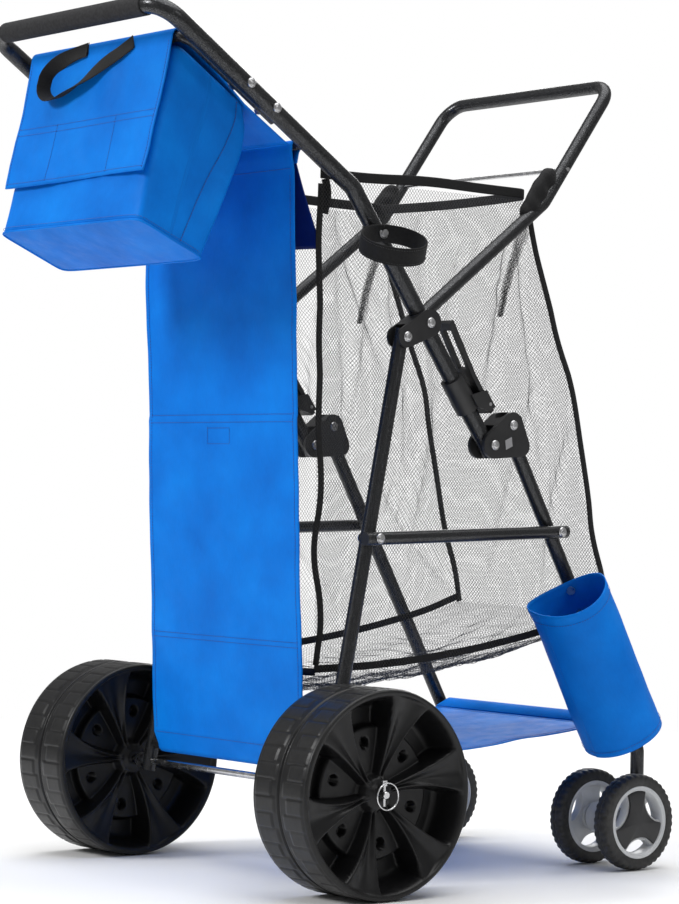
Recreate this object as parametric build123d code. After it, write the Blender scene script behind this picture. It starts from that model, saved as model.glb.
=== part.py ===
"""Folding beach cart: two big rear wheels, two twin front casters, net bag, tote bag, bottle holder.

Millimetres, +Z up, +Y the way the cart is pushed, X across. Side-view points are written as (y, z)
with the rear axle at y = 0; every node is moved by centre_shift so that the origin ends up on the
floor at the middle of the whole cart.
"""
from math import cos, hypot, radians, sin
import os

from build123d import *

os.makedirs("parts", exist_ok=True)

# ---- driving sizes -------------------------------------------------------------------------
overall_width = 688.0
wheel_d = 280.0
wheel_width = 114.0
caster_wheel_d = 138.0
caster_wheel_width = 27.0
caster_gap = 66.0
caster_trail = 50.0

main_tube_d = 24.0
leg_tube_d = 20.0
bail_tube_d = 19.0
brace_tube_d = 18.0
bar_tube_d = 16.0
hanger_tube_d = 14.0
rod_d = 6.0
tube_wall = 1.3
axle_d = 10.0
rivet_d = 8.0

main_tube_x = 205.0
leg_tube_x = 208.0
stem_x = 216.0
panel_half_width = 178.0
net_half_width = 170.0
tote_half_width = 172.0

handle_point = (-288.0, 1165.0)
handle_bend_point = (31.6, 949.0)
latch_pivot = (278.0, 605.0)
rear_leg_pivot = (118.0, 750.0)
bail_pivot = (159.1, 771.0)
bail_bend_point = (398.0, 955.0)
bail_top_point = (529.0, 1137.0)
lower_leg_top = (306.0, 645.0)
lower_leg_slope = (0.4887, -0.8724)
stem_y = 570.0
leg_end_z = 128.0
cross_bar_z = 205.0
brace_rear_z = 474.0
brace_front_z = 484.0
bottom_bar_lift = 27.0
top_bar_y = -45.0
hanger_front_y = -92.0
hanger_rear_y = -236.0
hanger_bolt_y = (-151.0, -108.0)
grip_half_length = 171.0
grip_wall = 2.0
cross_rod_point = (435.0, 1006.0)

fabric = 2.5
run_gap = 0.08
snug = 0.1
soft_gap = 0.4

# ---- derived sizes -------------------------------------------------------------------------
wheel_r = wheel_d / 2
caster_r = caster_wheel_d / 2
grip_d = main_tube_d + 2 * grip_wall
main_r = main_tube_d / 2
leg_r = leg_tube_d / 2
bail_r = bail_tube_d / 2
brace_r = brace_tube_d / 2
bar_r = bar_tube_d / 2
axle_r = axle_d / 2
rivet_r = rivet_d / 2
wheel_outer_x = overall_width / 2
wheel_inner_x = wheel_outer_x - wheel_width
axle = (0.0, wheel_r)
caster_axle = (stem_y - caster_trail, caster_r)
bail_x = main_tube_x - main_r - bail_r - 0.6
hanger_x = main_tube_x - main_r - hanger_tube_d / 2 - 0.5
brace_x = leg_tube_x + leg_r + brace_r + 0.5
front_edge = caster_axle[0] + caster_r
rear_edge = handle_point[0] - grip_d / 2
centre_shift = -(front_edge + rear_edge) / 2


def unit(a, b):
    length = hypot(b[0] - a[0], b[1] - a[1])
    return ((b[0] - a[0]) / length, (b[1] - a[1]) / length)


def along(point, direction, distance):
    return tuple(p + d * distance for p, d in zip(point, direction))


def at_height(point, direction, z):
    return along(point, direction, (z - point[1]) / direction[1])


def on_main(y):
    """Point of the main tube's upper run at this y."""
    direction = unit(handle_point, handle_bend_point)
    return along(handle_point, direction, (y - handle_point[0]) / direction[0])


def latch_point(up, front):
    """Point given by distances from the latch pivot, up the main tube and out in front of it."""
    run = unit(latch_pivot, handle_bend_point)
    out = (run[1], -run[0])
    return along(along(latch_pivot, run, up), out, front)


rear_leg_run = unit(rear_leg_pivot, axle)
brace_rear = at_height(rear_leg_pivot, rear_leg_run, brace_rear_z)
brace_front = at_height(lower_leg_top, lower_leg_slope, brace_front_z)
bottom_bar = along(axle, rear_leg_run, -bottom_bar_lift)
cross_bar = at_height(lower_leg_top, lower_leg_slope, cross_bar_z)
brace_run = unit(brace_rear, brace_front)


# ---- shape helpers -------------------------------------------------------------------------
def save(name, shape):
    export_step(Pos(0, centre_shift, 0) * shape, f"parts/{name}.step")


def group(shapes):
    return Compound(children=list(shapes))


def both(shape):
    return [shape, mirror(shape, about=Plane.YZ)]


def left(shape):
    return mirror(shape, about=Plane.YZ)


def slab(profile, x0, x1):
    """Side-view profile (y, z) made solid from x0 to x1."""
    return extrude(Plane.YZ.offset(x0) * profile, amount=x1 - x0, dir=(1, 0, 0))


def disc(point, r):
    return Pos(*point) * Circle(r)


def pin(point, r, x0, x1):
    return slab(disc(point, r), x0, x1)


def ring(point, r_out, r_in, x0, x1):
    return slab(disc(point, r_out) - disc(point, r_in), x0, x1)


def hull(*discs):
    return make_hull([edge for each in discs for edge in each.edges()])


def side(*points):
    return Polygon(*points, align=None)


def rivet(point, x0, x1, head_r=7.0, head_t=2.6):
    """Cross pin with a domed head outside each end."""
    shank = pin(point, rivet_r, x0, x1)
    outer = pin(point, head_r, x1, x1 + head_t)
    inner = pin(point, head_r, x0 - head_t, x0)
    outer = chamfer(outer.faces().sort_by(Axis.X)[-1].edges(), 1.0)
    inner = chamfer(inner.faces().sort_by(Axis.X)[0].edges(), 1.0)
    return shank + outer + inner


def rod(a, b, r):
    """Solid round bar between two (x, y, z) points."""
    start, end = Vector(*a), Vector(*b)
    plane = Plane(origin=start, z_dir=end - start)
    return extrude(plane * Circle(r), amount=(end - start).length)


def tube(points, r, bend=0.0, wall=tube_wall):
    """Round tube of (x, y, z) corner points, each corner bent to the same radius."""
    path = FilletPolyline(*points, radius=bend) if bend else Line(*points)
    section = Circle(r) - Circle(r - wall) if wall else Circle(r)
    return sweep(Plane(origin=path @ 0, z_dir=path % 0) * section, path=path)


def ribbon(points, thickness):
    """Side-view strip that follows the points, half its thickness on each side."""
    upper, lower = [], []
    for i, point in enumerate(points):
        before = unit(points[max(i - 1, 0)], points[max(i, 1)])
        after = unit(points[min(i, len(points) - 2)], points[min(i + 1, len(points) - 1)])
        normal = (-(before[1] + after[1]) / 2, (before[0] + after[0]) / 2)
        scale = thickness / 2 / (normal[0] ** 2 + normal[1] ** 2)
        upper.append(along(point, normal, scale))
        lower.append(along(point, normal, -scale))
    return Polygon(*upper, *reversed(lower), align=None)


# ---- upper frame ---------------------------------------------------------------------------
def handle_path(x):
    return [
        (x, *latch_point(-14, 0)),
        (x, *handle_bend_point),
        (x, *handle_point),
        (-x, *handle_point),
        (-x, *handle_bend_point),
        (-x, *latch_point(-14, 0)),
    ]


def handle_tube():
    """One bent tube: both side runs, their elbows, and the cross run under the grip."""
    path = FilletPolyline(*handle_path(main_tube_x), radius=34)
    section = Plane(origin=path @ 0, z_dir=path % 0) * (Circle(main_r) - Circle(main_r - tube_wall))
    shape = sweep(section, path=path)
    for y in hanger_bolt_y:
        shape -= pin(on_main(y), 3.0, -240, 240)
    for point in (bail_pivot, latch_pivot):
        shape -= pin(point, rivet_r, -240, 240)
    return shape


def foam_grip():
    body = ring(handle_point, grip_d / 2, main_r + 0.05, -grip_half_length, grip_half_length)
    ends = body.faces().filter_by(Axis.X)
    rims = [face.edges().sort_by(SortBy.LENGTH)[-1] for face in ends]
    return fillet(rims, 1.5)


def tote_hanger():
    """U tube inside the handle that the tote bag hangs over."""
    front, rear = on_main(hanger_front_y), on_main(hanger_rear_y)
    points = [(hanger_x, *front), (hanger_x, *rear), (-hanger_x, *rear), (-hanger_x, *front)]
    shape = tube(points, hanger_tube_d / 2, bend=22)
    for y in hanger_bolt_y:
        shape -= pin(on_main(y), 3.0, -240, 240)
    return shape


def hanger_bolts():
    bolts = []
    for y in hanger_bolt_y:
        point = on_main(y)
        shank = pin(point, 3.0, hanger_x - 7.0, main_tube_x + main_r)
        head = pin(point, 6.5, main_tube_x + main_r, main_tube_x + main_r + 3.2)
        nut = slab(Pos(*point) * RegularPolygon(6.0, 6), hanger_x - 12.0, hanger_x - 7.0)
        head = chamfer(head.faces().sort_by(Axis.X)[-1].edges(), 1.2)
        bolts += both(shank + head + nut)
    return bolts


def hanger_caps():
    """Plastic plugs in the open front ends of the hanger."""
    run = unit(on_main(hanger_rear_y), on_main(hanger_front_y))
    front = on_main(hanger_front_y)
    end = along(front, run, 3.0)
    deep = along(front, run, -10.0)
    cap = rod((hanger_x, *front), (hanger_x, *end), hanger_tube_d / 2)
    plug = rod((hanger_x, *deep), (hanger_x, *front), hanger_tube_d / 2 - tube_wall - 0.1)
    return both(cap + plug)


def panel_top_bar():
    bar = ring(on_main(top_bar_y), 6.0, 4.8, -main_tube_x, main_tube_x)
    run = unit(handle_point, handle_bend_point)
    start, end = along(on_main(top_bar_y), run, -60), along(on_main(top_bar_y), run, 60)
    for x in (main_tube_x, -main_tube_x):
        bar -= rod((x, *start), (x, *end), main_r)
    return bar


def bracket():
    """Plastic block clamped on the main tube that carries the rear leg and the bail."""
    profile = hull(disc(bail_pivot, 19), disc(rear_leg_pivot, 15))
    body = slab(profile, main_tube_x - 10, leg_tube_x + leg_r + 4)
    run = unit(latch_pivot, handle_bend_point)
    start, end = along(bail_pivot, run, -60), along(bail_pivot, run, 60)
    body -= rod((main_tube_x, *start), (main_tube_x, *end), main_r + snug)
    body -= pin(rear_leg_pivot, 17.5, leg_tube_x - leg_r - 0.5, leg_tube_x + leg_r + 0.5)
    body -= pin(bail_pivot, rivet_r, 150, 240)
    body -= pin(rear_leg_pivot, rivet_r, 150, 240)
    return body


def frame_rivets():
    """Pins that hold the rear legs and the bail at the two brackets."""
    outer = leg_tube_x + leg_r + 4
    leg_pin = rivet(rear_leg_pivot, main_tube_x - 10, outer)
    bail_pin = rivet(bail_pivot, bail_x - bail_r - 0.4, outer)
    return both(leg_pin) + both(bail_pin)


def latch_sleeve():
    """Collar on the main tube with two ears for the lever."""
    start, end = latch_point(60, 0), latch_point(112, 0)
    body = rod((main_tube_x, *start), (main_tube_x, *end), 17.0)
    ear = slab(
        side(latch_point(44, 19), latch_point(44, 31), latch_point(72, 31), latch_point(82, 4), latch_point(62, 4)),
        main_tube_x + 15.4,
        main_tube_x + 19.4,
    )
    other = Pos(2 * main_tube_x, 0, 0) * mirror(ear, about=Plane.YZ)
    body += ear + other
    body -= rod((main_tube_x, *latch_point(30, 0)), (main_tube_x, *latch_point(130, 0)), main_r + snug)
    return body - pin(latch_point(52, 25.5), 2.5, 150, 240)


def latch_lever():
    """Release lever: a bar with a finger loop at its upper end."""
    outline = side(
        latch_point(39, 22), latch_point(39, 29), latch_point(100, 29.5), latch_point(184, 38),
        latch_point(184, 31), latch_point(100, 22.5),
    )
    body = slab(outline, main_tube_x - 15, main_tube_x + 15)
    window = slab(
        side(latch_point(112, 10), latch_point(112, 50), latch_point(172, 50), latch_point(172, 10)),
        main_tube_x - 8.5,
        main_tube_x + 8.5,
    )
    return body - window - pin(latch_point(52, 25.5), 2.5 + run_gap, 150, 240)


def lever_pins():
    return both(pin(latch_point(52, 25.5), 2.5, main_tube_x - 19.4, main_tube_x + 19.4))


strap_r = 47.0
strap_wall = 2.6
strap_x = main_tube_x + main_r + 0.2 + strap_r
strap_run = unit(latch_pivot, handle_bend_point)
strap_seat = at_height(latch_pivot, strap_run, 889.0)


def umbrella_strap():
    """Webbing loop that stands out from the main tube and holds an umbrella pole."""
    low, high = along(strap_seat, strap_run, -13), along(strap_seat, strap_run, 13)
    band = rod((strap_x, *low), (strap_x, *high), strap_r)
    band -= rod((strap_x, *low), (strap_x, *high), strap_r - strap_wall)
    return band - pin(strap_seat, 2.6, 200, 240)


def umbrella_screw():
    """Pan-head screw and washer inside the loop."""
    x = strap_x - strap_r + strap_wall + 0.75
    washer = pin(strap_seat, 7.5, x, x + 1.2)
    shank = pin(strap_seat, 2.5, main_tube_x + main_r + 0.05, x)
    return washer + pin(strap_seat, 5.0, x + 1.2, x + 4.0) + shank


# ---- tote bag and panels --------------------------------------------------------------------
tote_profile = [(-242, 1113), (-297, 885), (-187, 836), (-113, 1000), (-120, 1031)]


def tote_body():
    """Open-topped bag of stitched cloth, as one shell."""
    outer = slab(side(*tote_profile), -tote_half_width, tote_half_width)
    inner = side((-239, 1150), (-238, 1106), (-292, 889), (-189, 842), (-118, 1000), (-124, 1070))
    return outer - slab(inner, 4 - tote_half_width, tote_half_width - 4)


flap_drop = [(-256.8, 1060), (-284, 948)]


def around(point, r, angle):
    return along(point, (cos(radians(angle)), sin(radians(angle))), r)


def tote_flap():
    """Lid that lies over the hanger's cross run and hangs down behind the bag."""
    bar = on_main(hanger_rear_y)
    wrap = [around(bar, hanger_tube_d / 2 + 2.0, angle) for angle in (50, 80, 110, 140, 170, 185)]
    return slab(ribbon([(-124, 1050)] + wrap + flap_drop, fabric), -tote_half_width, tote_half_width)


def tote_handle():
    """Webbing carry loop lying on the flap."""
    start = around(on_main(hanger_rear_y), hanger_tube_d / 2 + 2.0, 185)
    run = unit(start, flap_drop[0])
    top = along(start, (run[1], -run[0]), fabric / 2 + 0.4)
    plane = Plane(origin=(0, *top), x_dir=(1, 0, 0), z_dir=(0, run[1], -run[0]))
    points = [(-43, -2), (-118, -14), (-138, -42), (-100, -62), (-52, -50), (8, -30), (75, -2)]
    return extrude(plane * ribbon(points, 24), amount=1.6, dir=plane.z_dir)


panel_top = (-47.0, 990.0)
panel_bottom = along(bottom_bar, (-17.6, 1.5), 1)
panel_split_z = 330.0


def panel_upper():
    """Back panel down to the split, with its top edge sewn round the top bar."""
    run = unit(panel_top, panel_bottom)
    split = at_height(panel_top, run, panel_split_z)
    sheet = slab(ribbon([panel_top, split], fabric), -panel_half_width, panel_half_width)
    bar = on_main(top_bar_y)
    sleeve = ring(bar, 8.9, 6.0 + soft_gap, -panel_half_width, panel_half_width)
    tab = slab(side((-48.6, 989), (-45.4, 989), (-44.5, 996), (-50.5, 996)), -panel_half_width, panel_half_width)
    return sheet + sleeve + (tab - pin(bar, 6.0 + soft_gap, -panel_half_width, panel_half_width))


def panel_lower():
    """Lowest part of the back panel, sewn round the bottom bar."""
    run = unit(panel_top, panel_bottom)
    split = at_height(panel_top, run, panel_split_z - 0.5)
    sheet = slab(ribbon([split, along(panel_bottom, run, 10)], fabric), -panel_half_width, panel_half_width)
    sleeve = ring(bottom_bar, bar_r + 3.4, bar_r + soft_gap, -panel_half_width, panel_half_width)
    reach = bottom_bar[0] - panel_bottom[0]
    seam = slab(
        side(
            along(bottom_bar, (-reach - 0.6, 7.5), 1), along(bottom_bar, (-reach - 0.6, -5.5), 1),
            along(bottom_bar, (-5.2, -9.0), 1), along(bottom_bar, (-5.2, 9.0), 1),
        ),
        -panel_half_width,
        panel_half_width,
    )
    core = pin(bottom_bar, bar_r + soft_gap, -panel_half_width, panel_half_width)
    return sheet + sleeve + (seam - core)


def inner_flap():
    """Short cloth flap that hangs from the top bar inside the cart."""
    points = [(-38.0, 993.4), (-30, 930), (-20, 862)]
    return slab(ribbon(points, fabric), -150, 150)


# ---- net bag ---------------------------------------------------------------------------------
net_path = [
    (378, 956), (392, 901), (423, 814), (458, 733), (482, 657), (512, 510), (556, 366), (400, 318), (200, 282), (4, 291)
]


def net_wall():
    return slab(side(*net_path, (2, 960)), net_half_width - fabric, net_half_width)


def net_front_floor():
    inside = net_half_width - fabric
    return slab(ribbon(net_path, fabric), -inside, inside)


def net_rim():
    """Webbing band sewn round the net's mouth."""
    low, high = 960.4, 981.0
    outer = Pos(0, 188, (low + high) / 2) * Box(2 * net_half_width, 380, high - low)
    inner = Pos(0, 188, (low + high) / 2) * Box(2 * net_half_width - 5, 375, high - low)
    return outer - inner


def net_ties():
    """Short straps from the rim's rear corners to the main tube."""
    strap = Pos((net_half_width + main_tube_x) / 2 + 0.2, 9, 969) * Box(
        main_tube_x - net_half_width, 16, 12
    )
    run = unit(handle_bend_point, handle_point)
    start, end = along(handle_bend_point, run, -40), along(handle_bend_point, run, 90)
    low = unit(latch_pivot, handle_bend_point)
    strap -= rod((main_tube_x, *start), (main_tube_x, *end), main_r + 0.1)
    strap -= rod((main_tube_x, *along(handle_bend_point, low, -80)), (main_tube_x, *handle_bend_point), main_r + 0.1)
    return both(strap.solids().sort_by(Axis.X)[0])


# ---- bail ------------------------------------------------------------------------------------
def bail_tube():
    end = along(bail_pivot, unit(bail_pivot, bail_bend_point), -13)
    points = [(bail_x, *end), (bail_x, *bail_bend_point), (bail_x, *bail_top_point)]
    points += [(-x, y, z) for x, y, z in reversed(points)]
    shape = tube(points, bail_r, bend=34)
    shape -= pin(cross_rod_point, rod_d / 2, -200, 200)
    return shape - pin(bail_pivot, rivet_r + run_gap, -200, 200)


def cross_rod():
    return pin(cross_rod_point, rod_d / 2, -bail_x - bail_r - 1.5, bail_x + bail_r + 1.5)


def bail_wraps():
    """Hook-and-loop straps that tie the net's front corners to the bail."""
    run = unit(bail_bend_point, bail_pivot)
    low, high = along(bail_bend_point, run, 66), along(bail_bend_point, run, 30)
    wrap = rod((bail_x, *low), (bail_x, *high), bail_r + 2.6)
    wrap -= rod((bail_x, *low), (bail_x, *high), bail_r + snug)
    return both(wrap)


# ---- rear frame ------------------------------------------------------------------------------
def rear_leg():
    top = along(rear_leg_pivot, rear_leg_run, -11)
    foot = along(axle, rear_leg_run, 14)
    shape = tube([(leg_tube_x, *top), (leg_tube_x, *foot)], leg_r)
    shape -= pin(rear_leg_pivot, rivet_r + run_gap, 150, 240)
    shape -= pin(brace_rear, rivet_r + run_gap, 150, 240)
    return shape - pin(axle, axle_r, 150, 240)


def bottom_bar_tube():
    bar = ring(bottom_bar, bar_r, bar_r - tube_wall, -leg_tube_x, leg_tube_x)
    for x in (leg_tube_x, -leg_tube_x):
        bar -= rod((x, *rear_leg_pivot), (x, *along(axle, rear_leg_run, 20)), leg_r)
    return bar


def rear_axle():
    return chamfer(pin(axle, axle_r, -(wheel_outer_x - 4), wheel_outer_x - 4).edges(), 0.8) - linchpin_holes()


def linchpin_holes():
    x = wheel_outer_x - 10
    return Pos(x, *axle) * Cylinder(2.1, 40) + Pos(-x, *axle) * Cylinder(2.1, 40)


def axle_spacers():
    """Washers between each rear leg and its wheel."""
    return both(ring(axle, 11.0, axle_r + 0.05, leg_tube_x + leg_r, wheel_inner_x - 0.3))


def linchpin():
    """Pin through the axle end with a wider head on top."""
    x = wheel_outer_x - 10
    shank = Pos(x, axle[0], axle[1] - 1) * Cylinder(2.05, 28)
    head = Pos(x, axle[0], axle[1] + 15.5) * Cylinder(4.0, 7)
    return shank + head - pin((axle[0], axle[1] + 16.2), 0.9 + run_gap, wheel_outer_x - 20, wheel_outer_x + 5)


def linchpin_ring():
    """Spring ring that flips over the axle end."""
    x = wheel_outer_x - 10
    loop = Pos(x + 7.6, axle[0], axle[1] - 1.4) * Rot(0, 90, 0) * Torus(17.6, 1.1)
    return loop + pin((axle[0], axle[1] + 16.2), 0.9, x - 4.5, x + 7.4)


# ---- big wheel -------------------------------------------------------------------------------
wheel_dish = 38.0
wheel_hub_r = 25.0
wheel_hub_end = 17.0
wheel_web = 3.0
wheel_wall = 6.0
wheel_lip = 13.0
spoke_width = 12.0
spoke_count = 6
web_hole_d = 15.0
wheel_middle = (wheel_inner_x + wheel_outer_x) / 2


def turned(points):
    """Closed (x from the wheel's middle, radius) outline turned round the axle."""
    return Pos(wheel_middle, *axle) * revolve(Plane.XY * Polygon(*points, align=None), Axis.X)


def wheel_tread():
    """Moulded tread barrel with a groove round its middle and a lip at each face."""
    half = wheel_width / 2
    inner = wheel_r - wheel_wall
    lip = wheel_r - wheel_lip
    outside = [(-half, wheel_r - 5), (-half + 5, wheel_r), (-3, wheel_r), (-2, wheel_r - 3)]
    outside += [(-x, r) for x, r in reversed(outside)]
    inside = [(half, lip), (half - 3, lip), (half - 3 - wheel_lip + wheel_wall, inner)]
    inside += [(-x, r) for x, r in reversed(inside)]
    return turned(outside + inside)


def wheel_core():
    """Hub, two dished webs with six holes each, and six spokes on each face."""
    half = wheel_width / 2
    face = half - wheel_dish
    hub_end = half - wheel_hub_end
    rim = wheel_r - wheel_wall - 0.05
    body = turned([(-half, wheel_hub_r), (hub_end, wheel_hub_r), (hub_end, axle_r + run_gap), (-half, axle_r + run_gap)])
    for outer in (face, wheel_web - face):
        body += turned([(outer, rim), (outer, axle_r + 6), (outer - wheel_web, axle_r + 6), (outer - wheel_web, rim)])
    spoke_side = Polygon(
        (face - 1, wheel_hub_r - 2), (hub_end - 2, wheel_hub_r - 2), (half - 12, wheel_r * 0.45),
        (half - 10.5, wheel_r - wheel_lip - 1.5), (face - 1, wheel_r - wheel_lip - 1.5), align=None
    )
    spoke = extrude(Plane.XY * spoke_side, amount=spoke_width / 2, both=True)
    for i in range(spoke_count):
        turn = Pos(wheel_middle, *axle) * Rot(360 / spoke_count * (i + 0.5), 0, 0)
        body += turn * spoke + turn * mirror(spoke, about=Plane.YZ)
    for i in range(spoke_count):
        turn = Pos(wheel_middle, *axle) * Rot(360 / spoke_count * i, 0, 0)
        body -= turn * Pos(0, wheel_r * 0.49, 0) * Rot(0, 90, 0) * Cylinder(web_hole_d / 2, 2 * face + 10)
    return body


# ---- braces ----------------------------------------------------------------------------------
def brace():
    start, end = along(brace_rear, brace_run, -16), along(brace_front, brace_run, 12)
    shape = tube([(brace_x, *start), (brace_x, *end)], brace_r)
    return shape - pin(brace_rear, rivet_r, 150, 260) - pin(brace_front, rivet_r, 150, 260)


def brace_plugs():
    start, end = along(brace_rear, brace_run, -16), along(brace_front, brace_run, 12)
    plugs = []
    for point, sense in ((start, -1), (end, 1)):
        cap = rod((brace_x, *point), (brace_x, *along(point, brace_run, 3.5 * sense)), brace_r)
        deep = along(point, brace_run, -5.5 * sense)
        plugs += both(cap + rod((brace_x, *point), (brace_x, *deep), brace_r - tube_wall - 0.1))
    return plugs


def brace_screws():
    """Pivot screws: the rear pair runs through the legs, the front pair stops in the brace."""
    outer = brace_x + brace_r
    rear = rivet(brace_rear, leg_tube_x - leg_r - 0.4, outer)
    front = pin(brace_front, rivet_r, brace_x - brace_r, outer)
    head = chamfer(pin(brace_front, 7.0, outer, outer + 2.6).faces().sort_by(Axis.X)[-1].edges(), 1.0)
    return both(rear) + both(front + head)


# ---- lower frame -----------------------------------------------------------------------------
def lower_leg():
    kink = at_height(lower_leg_top, lower_leg_slope, 200.0)
    points = [
        (leg_tube_x, *lower_leg_top), (leg_tube_x, *kink), (stem_x, stem_y, 168.0), (stem_x, stem_y, leg_end_z),
    ]
    shape = tube(points, leg_r, bend=24)
    return shape - pin(along(lower_leg_top, lower_leg_slope, 13), rivet_r, 150, 260)


def front_cross_bar():
    bar = ring(cross_bar, leg_r - 1, leg_r - 1 - tube_wall, -leg_tube_x, leg_tube_x)
    for x in (leg_tube_x, -leg_tube_x):
        bar -= rod((x, *lower_leg_top), (x, *at_height(lower_leg_top, lower_leg_slope, 170)), leg_r)
    solids = bar.solids().sort_by(SortBy.VOLUME)
    return solids[-1]


def latch_body():
    """Clevis that pivots on the main tube's end and clamps the lower leg's top."""
    screw = along(lower_leg_top, lower_leg_slope, 13)
    low = along(lower_leg_top, lower_leg_slope, 46)
    profile = hull(disc(latch_pivot, 19), disc(screw, 18.5), disc(low, 15))
    body = slab(profile, main_tube_x - 17.5, main_tube_x + 18.5)
    inner, outer = main_tube_x - main_r - 0.5, main_tube_x + main_r + 0.5
    body -= pin(latch_pivot, 20.4, inner, outer)
    clear = side(latch_point(-2, -30), latch_point(-2, 20), latch_point(60, 20), latch_point(60, -30))
    body -= slab(clear, inner, outer)
    start, end = along(lower_leg_top, lower_leg_slope, -30), along(low, lower_leg_slope, 30)
    body -= rod((leg_tube_x, *start), (leg_tube_x, *end), leg_r + snug)
    body -= pin(latch_pivot, rivet_r + run_gap, 150, 240)
    return body - pin(screw, rivet_r, 150, 240)


def latch_rivets():
    """Screws that clamp the lower legs in the latch bodies."""
    screw = along(lower_leg_top, lower_leg_slope, 13)
    return both(rivet(screw, main_tube_x - 17.5, main_tube_x + 18.5))


def latch_pivots():
    return both(rivet(latch_pivot, main_tube_x - 17.9, main_tube_x + 18.9))


def caster_stems():
    """Steel stems plugged in the leg ends, with a flange above each caster."""
    plug = Pos(stem_x, stem_y, leg_end_z + 9) * Cylinder(leg_r - tube_wall - 0.1, 18)
    flange = Pos(stem_x, stem_y, leg_end_z - 1.5) * Cylinder(11, 3)
    stem = Pos(stem_x, stem_y, leg_end_z - 16) * Cylinder(5, 30)
    return both(plug + flange + stem)


holder_r = 61.5
holder_length = 236.0
holder_wall = 3.0
holder_top_z = 424.0
leg_normal = (lower_leg_slope[1], -lower_leg_slope[0])
holder_offset = (holder_r + leg_r + 0.6) * sin(radians(45))
holder_x = leg_tube_x + holder_offset
holder_top = along(at_height(lower_leg_top, lower_leg_slope, holder_top_z), leg_normal, holder_offset)
holder_bottom = along(holder_top, lower_leg_slope, holder_length)


def holder_screw(depth, near, far, r):
    """Round bar at this depth in the holder, between two distances from its axis towards the leg."""
    centre = along(holder_top, lower_leg_slope, depth)
    start = Vector(holder_x, *centre)
    way = (Vector(leg_tube_x, *along(centre, leg_normal, -holder_offset)) - start).normalized()
    return rod(start + way * near, start + way * far, r)


holder_floor = along(holder_bottom, lower_leg_slope, -4)


def holder_base():
    """Floor of the bottle holder."""
    return rod((holder_x, *holder_bottom), (holder_x, *holder_floor), holder_r)


def bottle_holder():
    """Cloth tube beside the lower leg, standing on its floor."""
    below = along(holder_floor, lower_leg_slope, 5)
    over = along(holder_top, lower_leg_slope, -5)
    cup = rod((holder_x, *holder_floor), (holder_x, *holder_top), holder_r)
    cup -= rod((holder_x, *below), (holder_x, *over), holder_r - holder_wall)
    for depth in (22.0, 60.0):
        cup -= holder_screw(depth, holder_r - 8, holder_r + 8, 2.55)
    return cup


def holder_screws():
    """Screws from inside the holder into the leg."""
    screws = []
    for depth in (22.0, 60.0):
        head = holder_screw(depth, holder_r - 5.8, holder_r - 3.4, 6.0)
        screws.append(head + holder_screw(depth, holder_r - 3.4, holder_r + 0.5, 2.5))
    return screws


platform_run = unit(cross_bar, bottom_bar)
platform_gap = bar_r + 3.4 + 2.5


def platform():
    """Cloth floor between the front cross bar and the bottom bar, with a sleeve round the cross bar."""
    rear = along(bottom_bar, platform_run, -platform_gap)
    sheet = slab(ribbon([cross_bar, rear], fabric), -188, 188)
    sleeve = ring(cross_bar, leg_r - 1 + 3.2, leg_r - 1 + soft_gap, -188, 188)
    core = pin(cross_bar, leg_r - 1 + soft_gap, -188, 188)
    return sleeve + (sheet - core)


# ---- casters ---------------------------------------------------------------------------------
def caster_fork():
    """Swivel housing between the twin wheels."""
    boss = Pos(stem_x, stem_y, (94 + leg_end_z - 3.3) / 2) * Cylinder(15.5, leg_end_z - 3.3 - 94)
    drum = pin(caster_axle, 22, stem_x - caster_gap / 2 + 2, stem_x + caster_gap / 2 - 2)
    arm = slab(
        side((stem_y - 15, 122), (stem_y + 15, 118), (stem_y + 13, 94), (stem_y - 32, 52), (stem_y - 62, 84)),
        stem_x - 13,
        stem_x + 13,
    )
    body = boss + arm + drum
    body -= pin(caster_axle, 4.0 + run_gap, stem_x - 60, stem_x + 60)
    return body - Pos(stem_x, stem_y, leg_end_z - 17) * Cylinder(5 + run_gap, 33)


def caster_side(sign):
    """Inner and outer x of one of the twin wheels."""
    inner = stem_x + sign * caster_gap / 2
    return inner, inner + sign * caster_wheel_width


def caster_tyres():
    tyres = []
    for sign in (-1, 1):
        a, b = sorted(caster_side(sign))
        tyre = ring(caster_axle, caster_r, 52.0, a, b)
        tyre = chamfer(tyre.edges().filter_by(GeomType.CIRCLE).sort_by(SortBy.RADIUS)[-2:], 2.5)
        tyres.append(tyre)
    return tyres


def caster_rims():
    """Three-spoke rims with their hubs."""
    rims = []
    for sign in (-1, 1):
        a, b = sorted(caster_side(sign))
        rim = ring(caster_axle, 51.95, 44.0, a + 0.5, b - 0.5)
        rim += ring(caster_axle, 20.0, 4.0, a + 3, b - 3)
        for i in range(3):
            angle = radians(95 + 120 * i)
            start = along(caster_axle, (cos(angle), sin(angle)), 17)
            end = along(caster_axle, (cos(angle), sin(angle)), 46)
            normal = (-sin(angle), cos(angle))
            spoke = side(
                along(start, normal, -10), along(end, normal, -15), along(end, normal, 15), along(start, normal, 10)
            )
            rim += slab(spoke, a + 5, b - 5)
        rims.append(rim)
    return rims


def caster_covers():
    """Dark three-lobe caps on the outer faces of the spokes."""
    covers = []
    for sign in (-1, 1):
        a, b = caster_side(sign)
        lobes = Pos(*caster_axle) * Circle(19)
        for i in range(3):
            angle = radians(95 + 120 * i)
            tip = along(caster_axle, (cos(angle), sin(angle)), 32)
            lobes += hull(disc(caster_axle, 14), disc(tip, 10.5))
        hub_face = b - sign * 3
        low, high = sorted((b - sign * 5, b - sign * 1.2))
        cap = slab(lobes, low, high)
        low, high = sorted((hub_face, hub_face - sign * 6))
        covers.append(cap - pin(caster_axle, 20.0, low, high))
    return covers


def caster_axle_rod():
    return pin(caster_axle, 4.0, caster_side(-1)[1] + 3, caster_side(1)[1] - 3)


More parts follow.
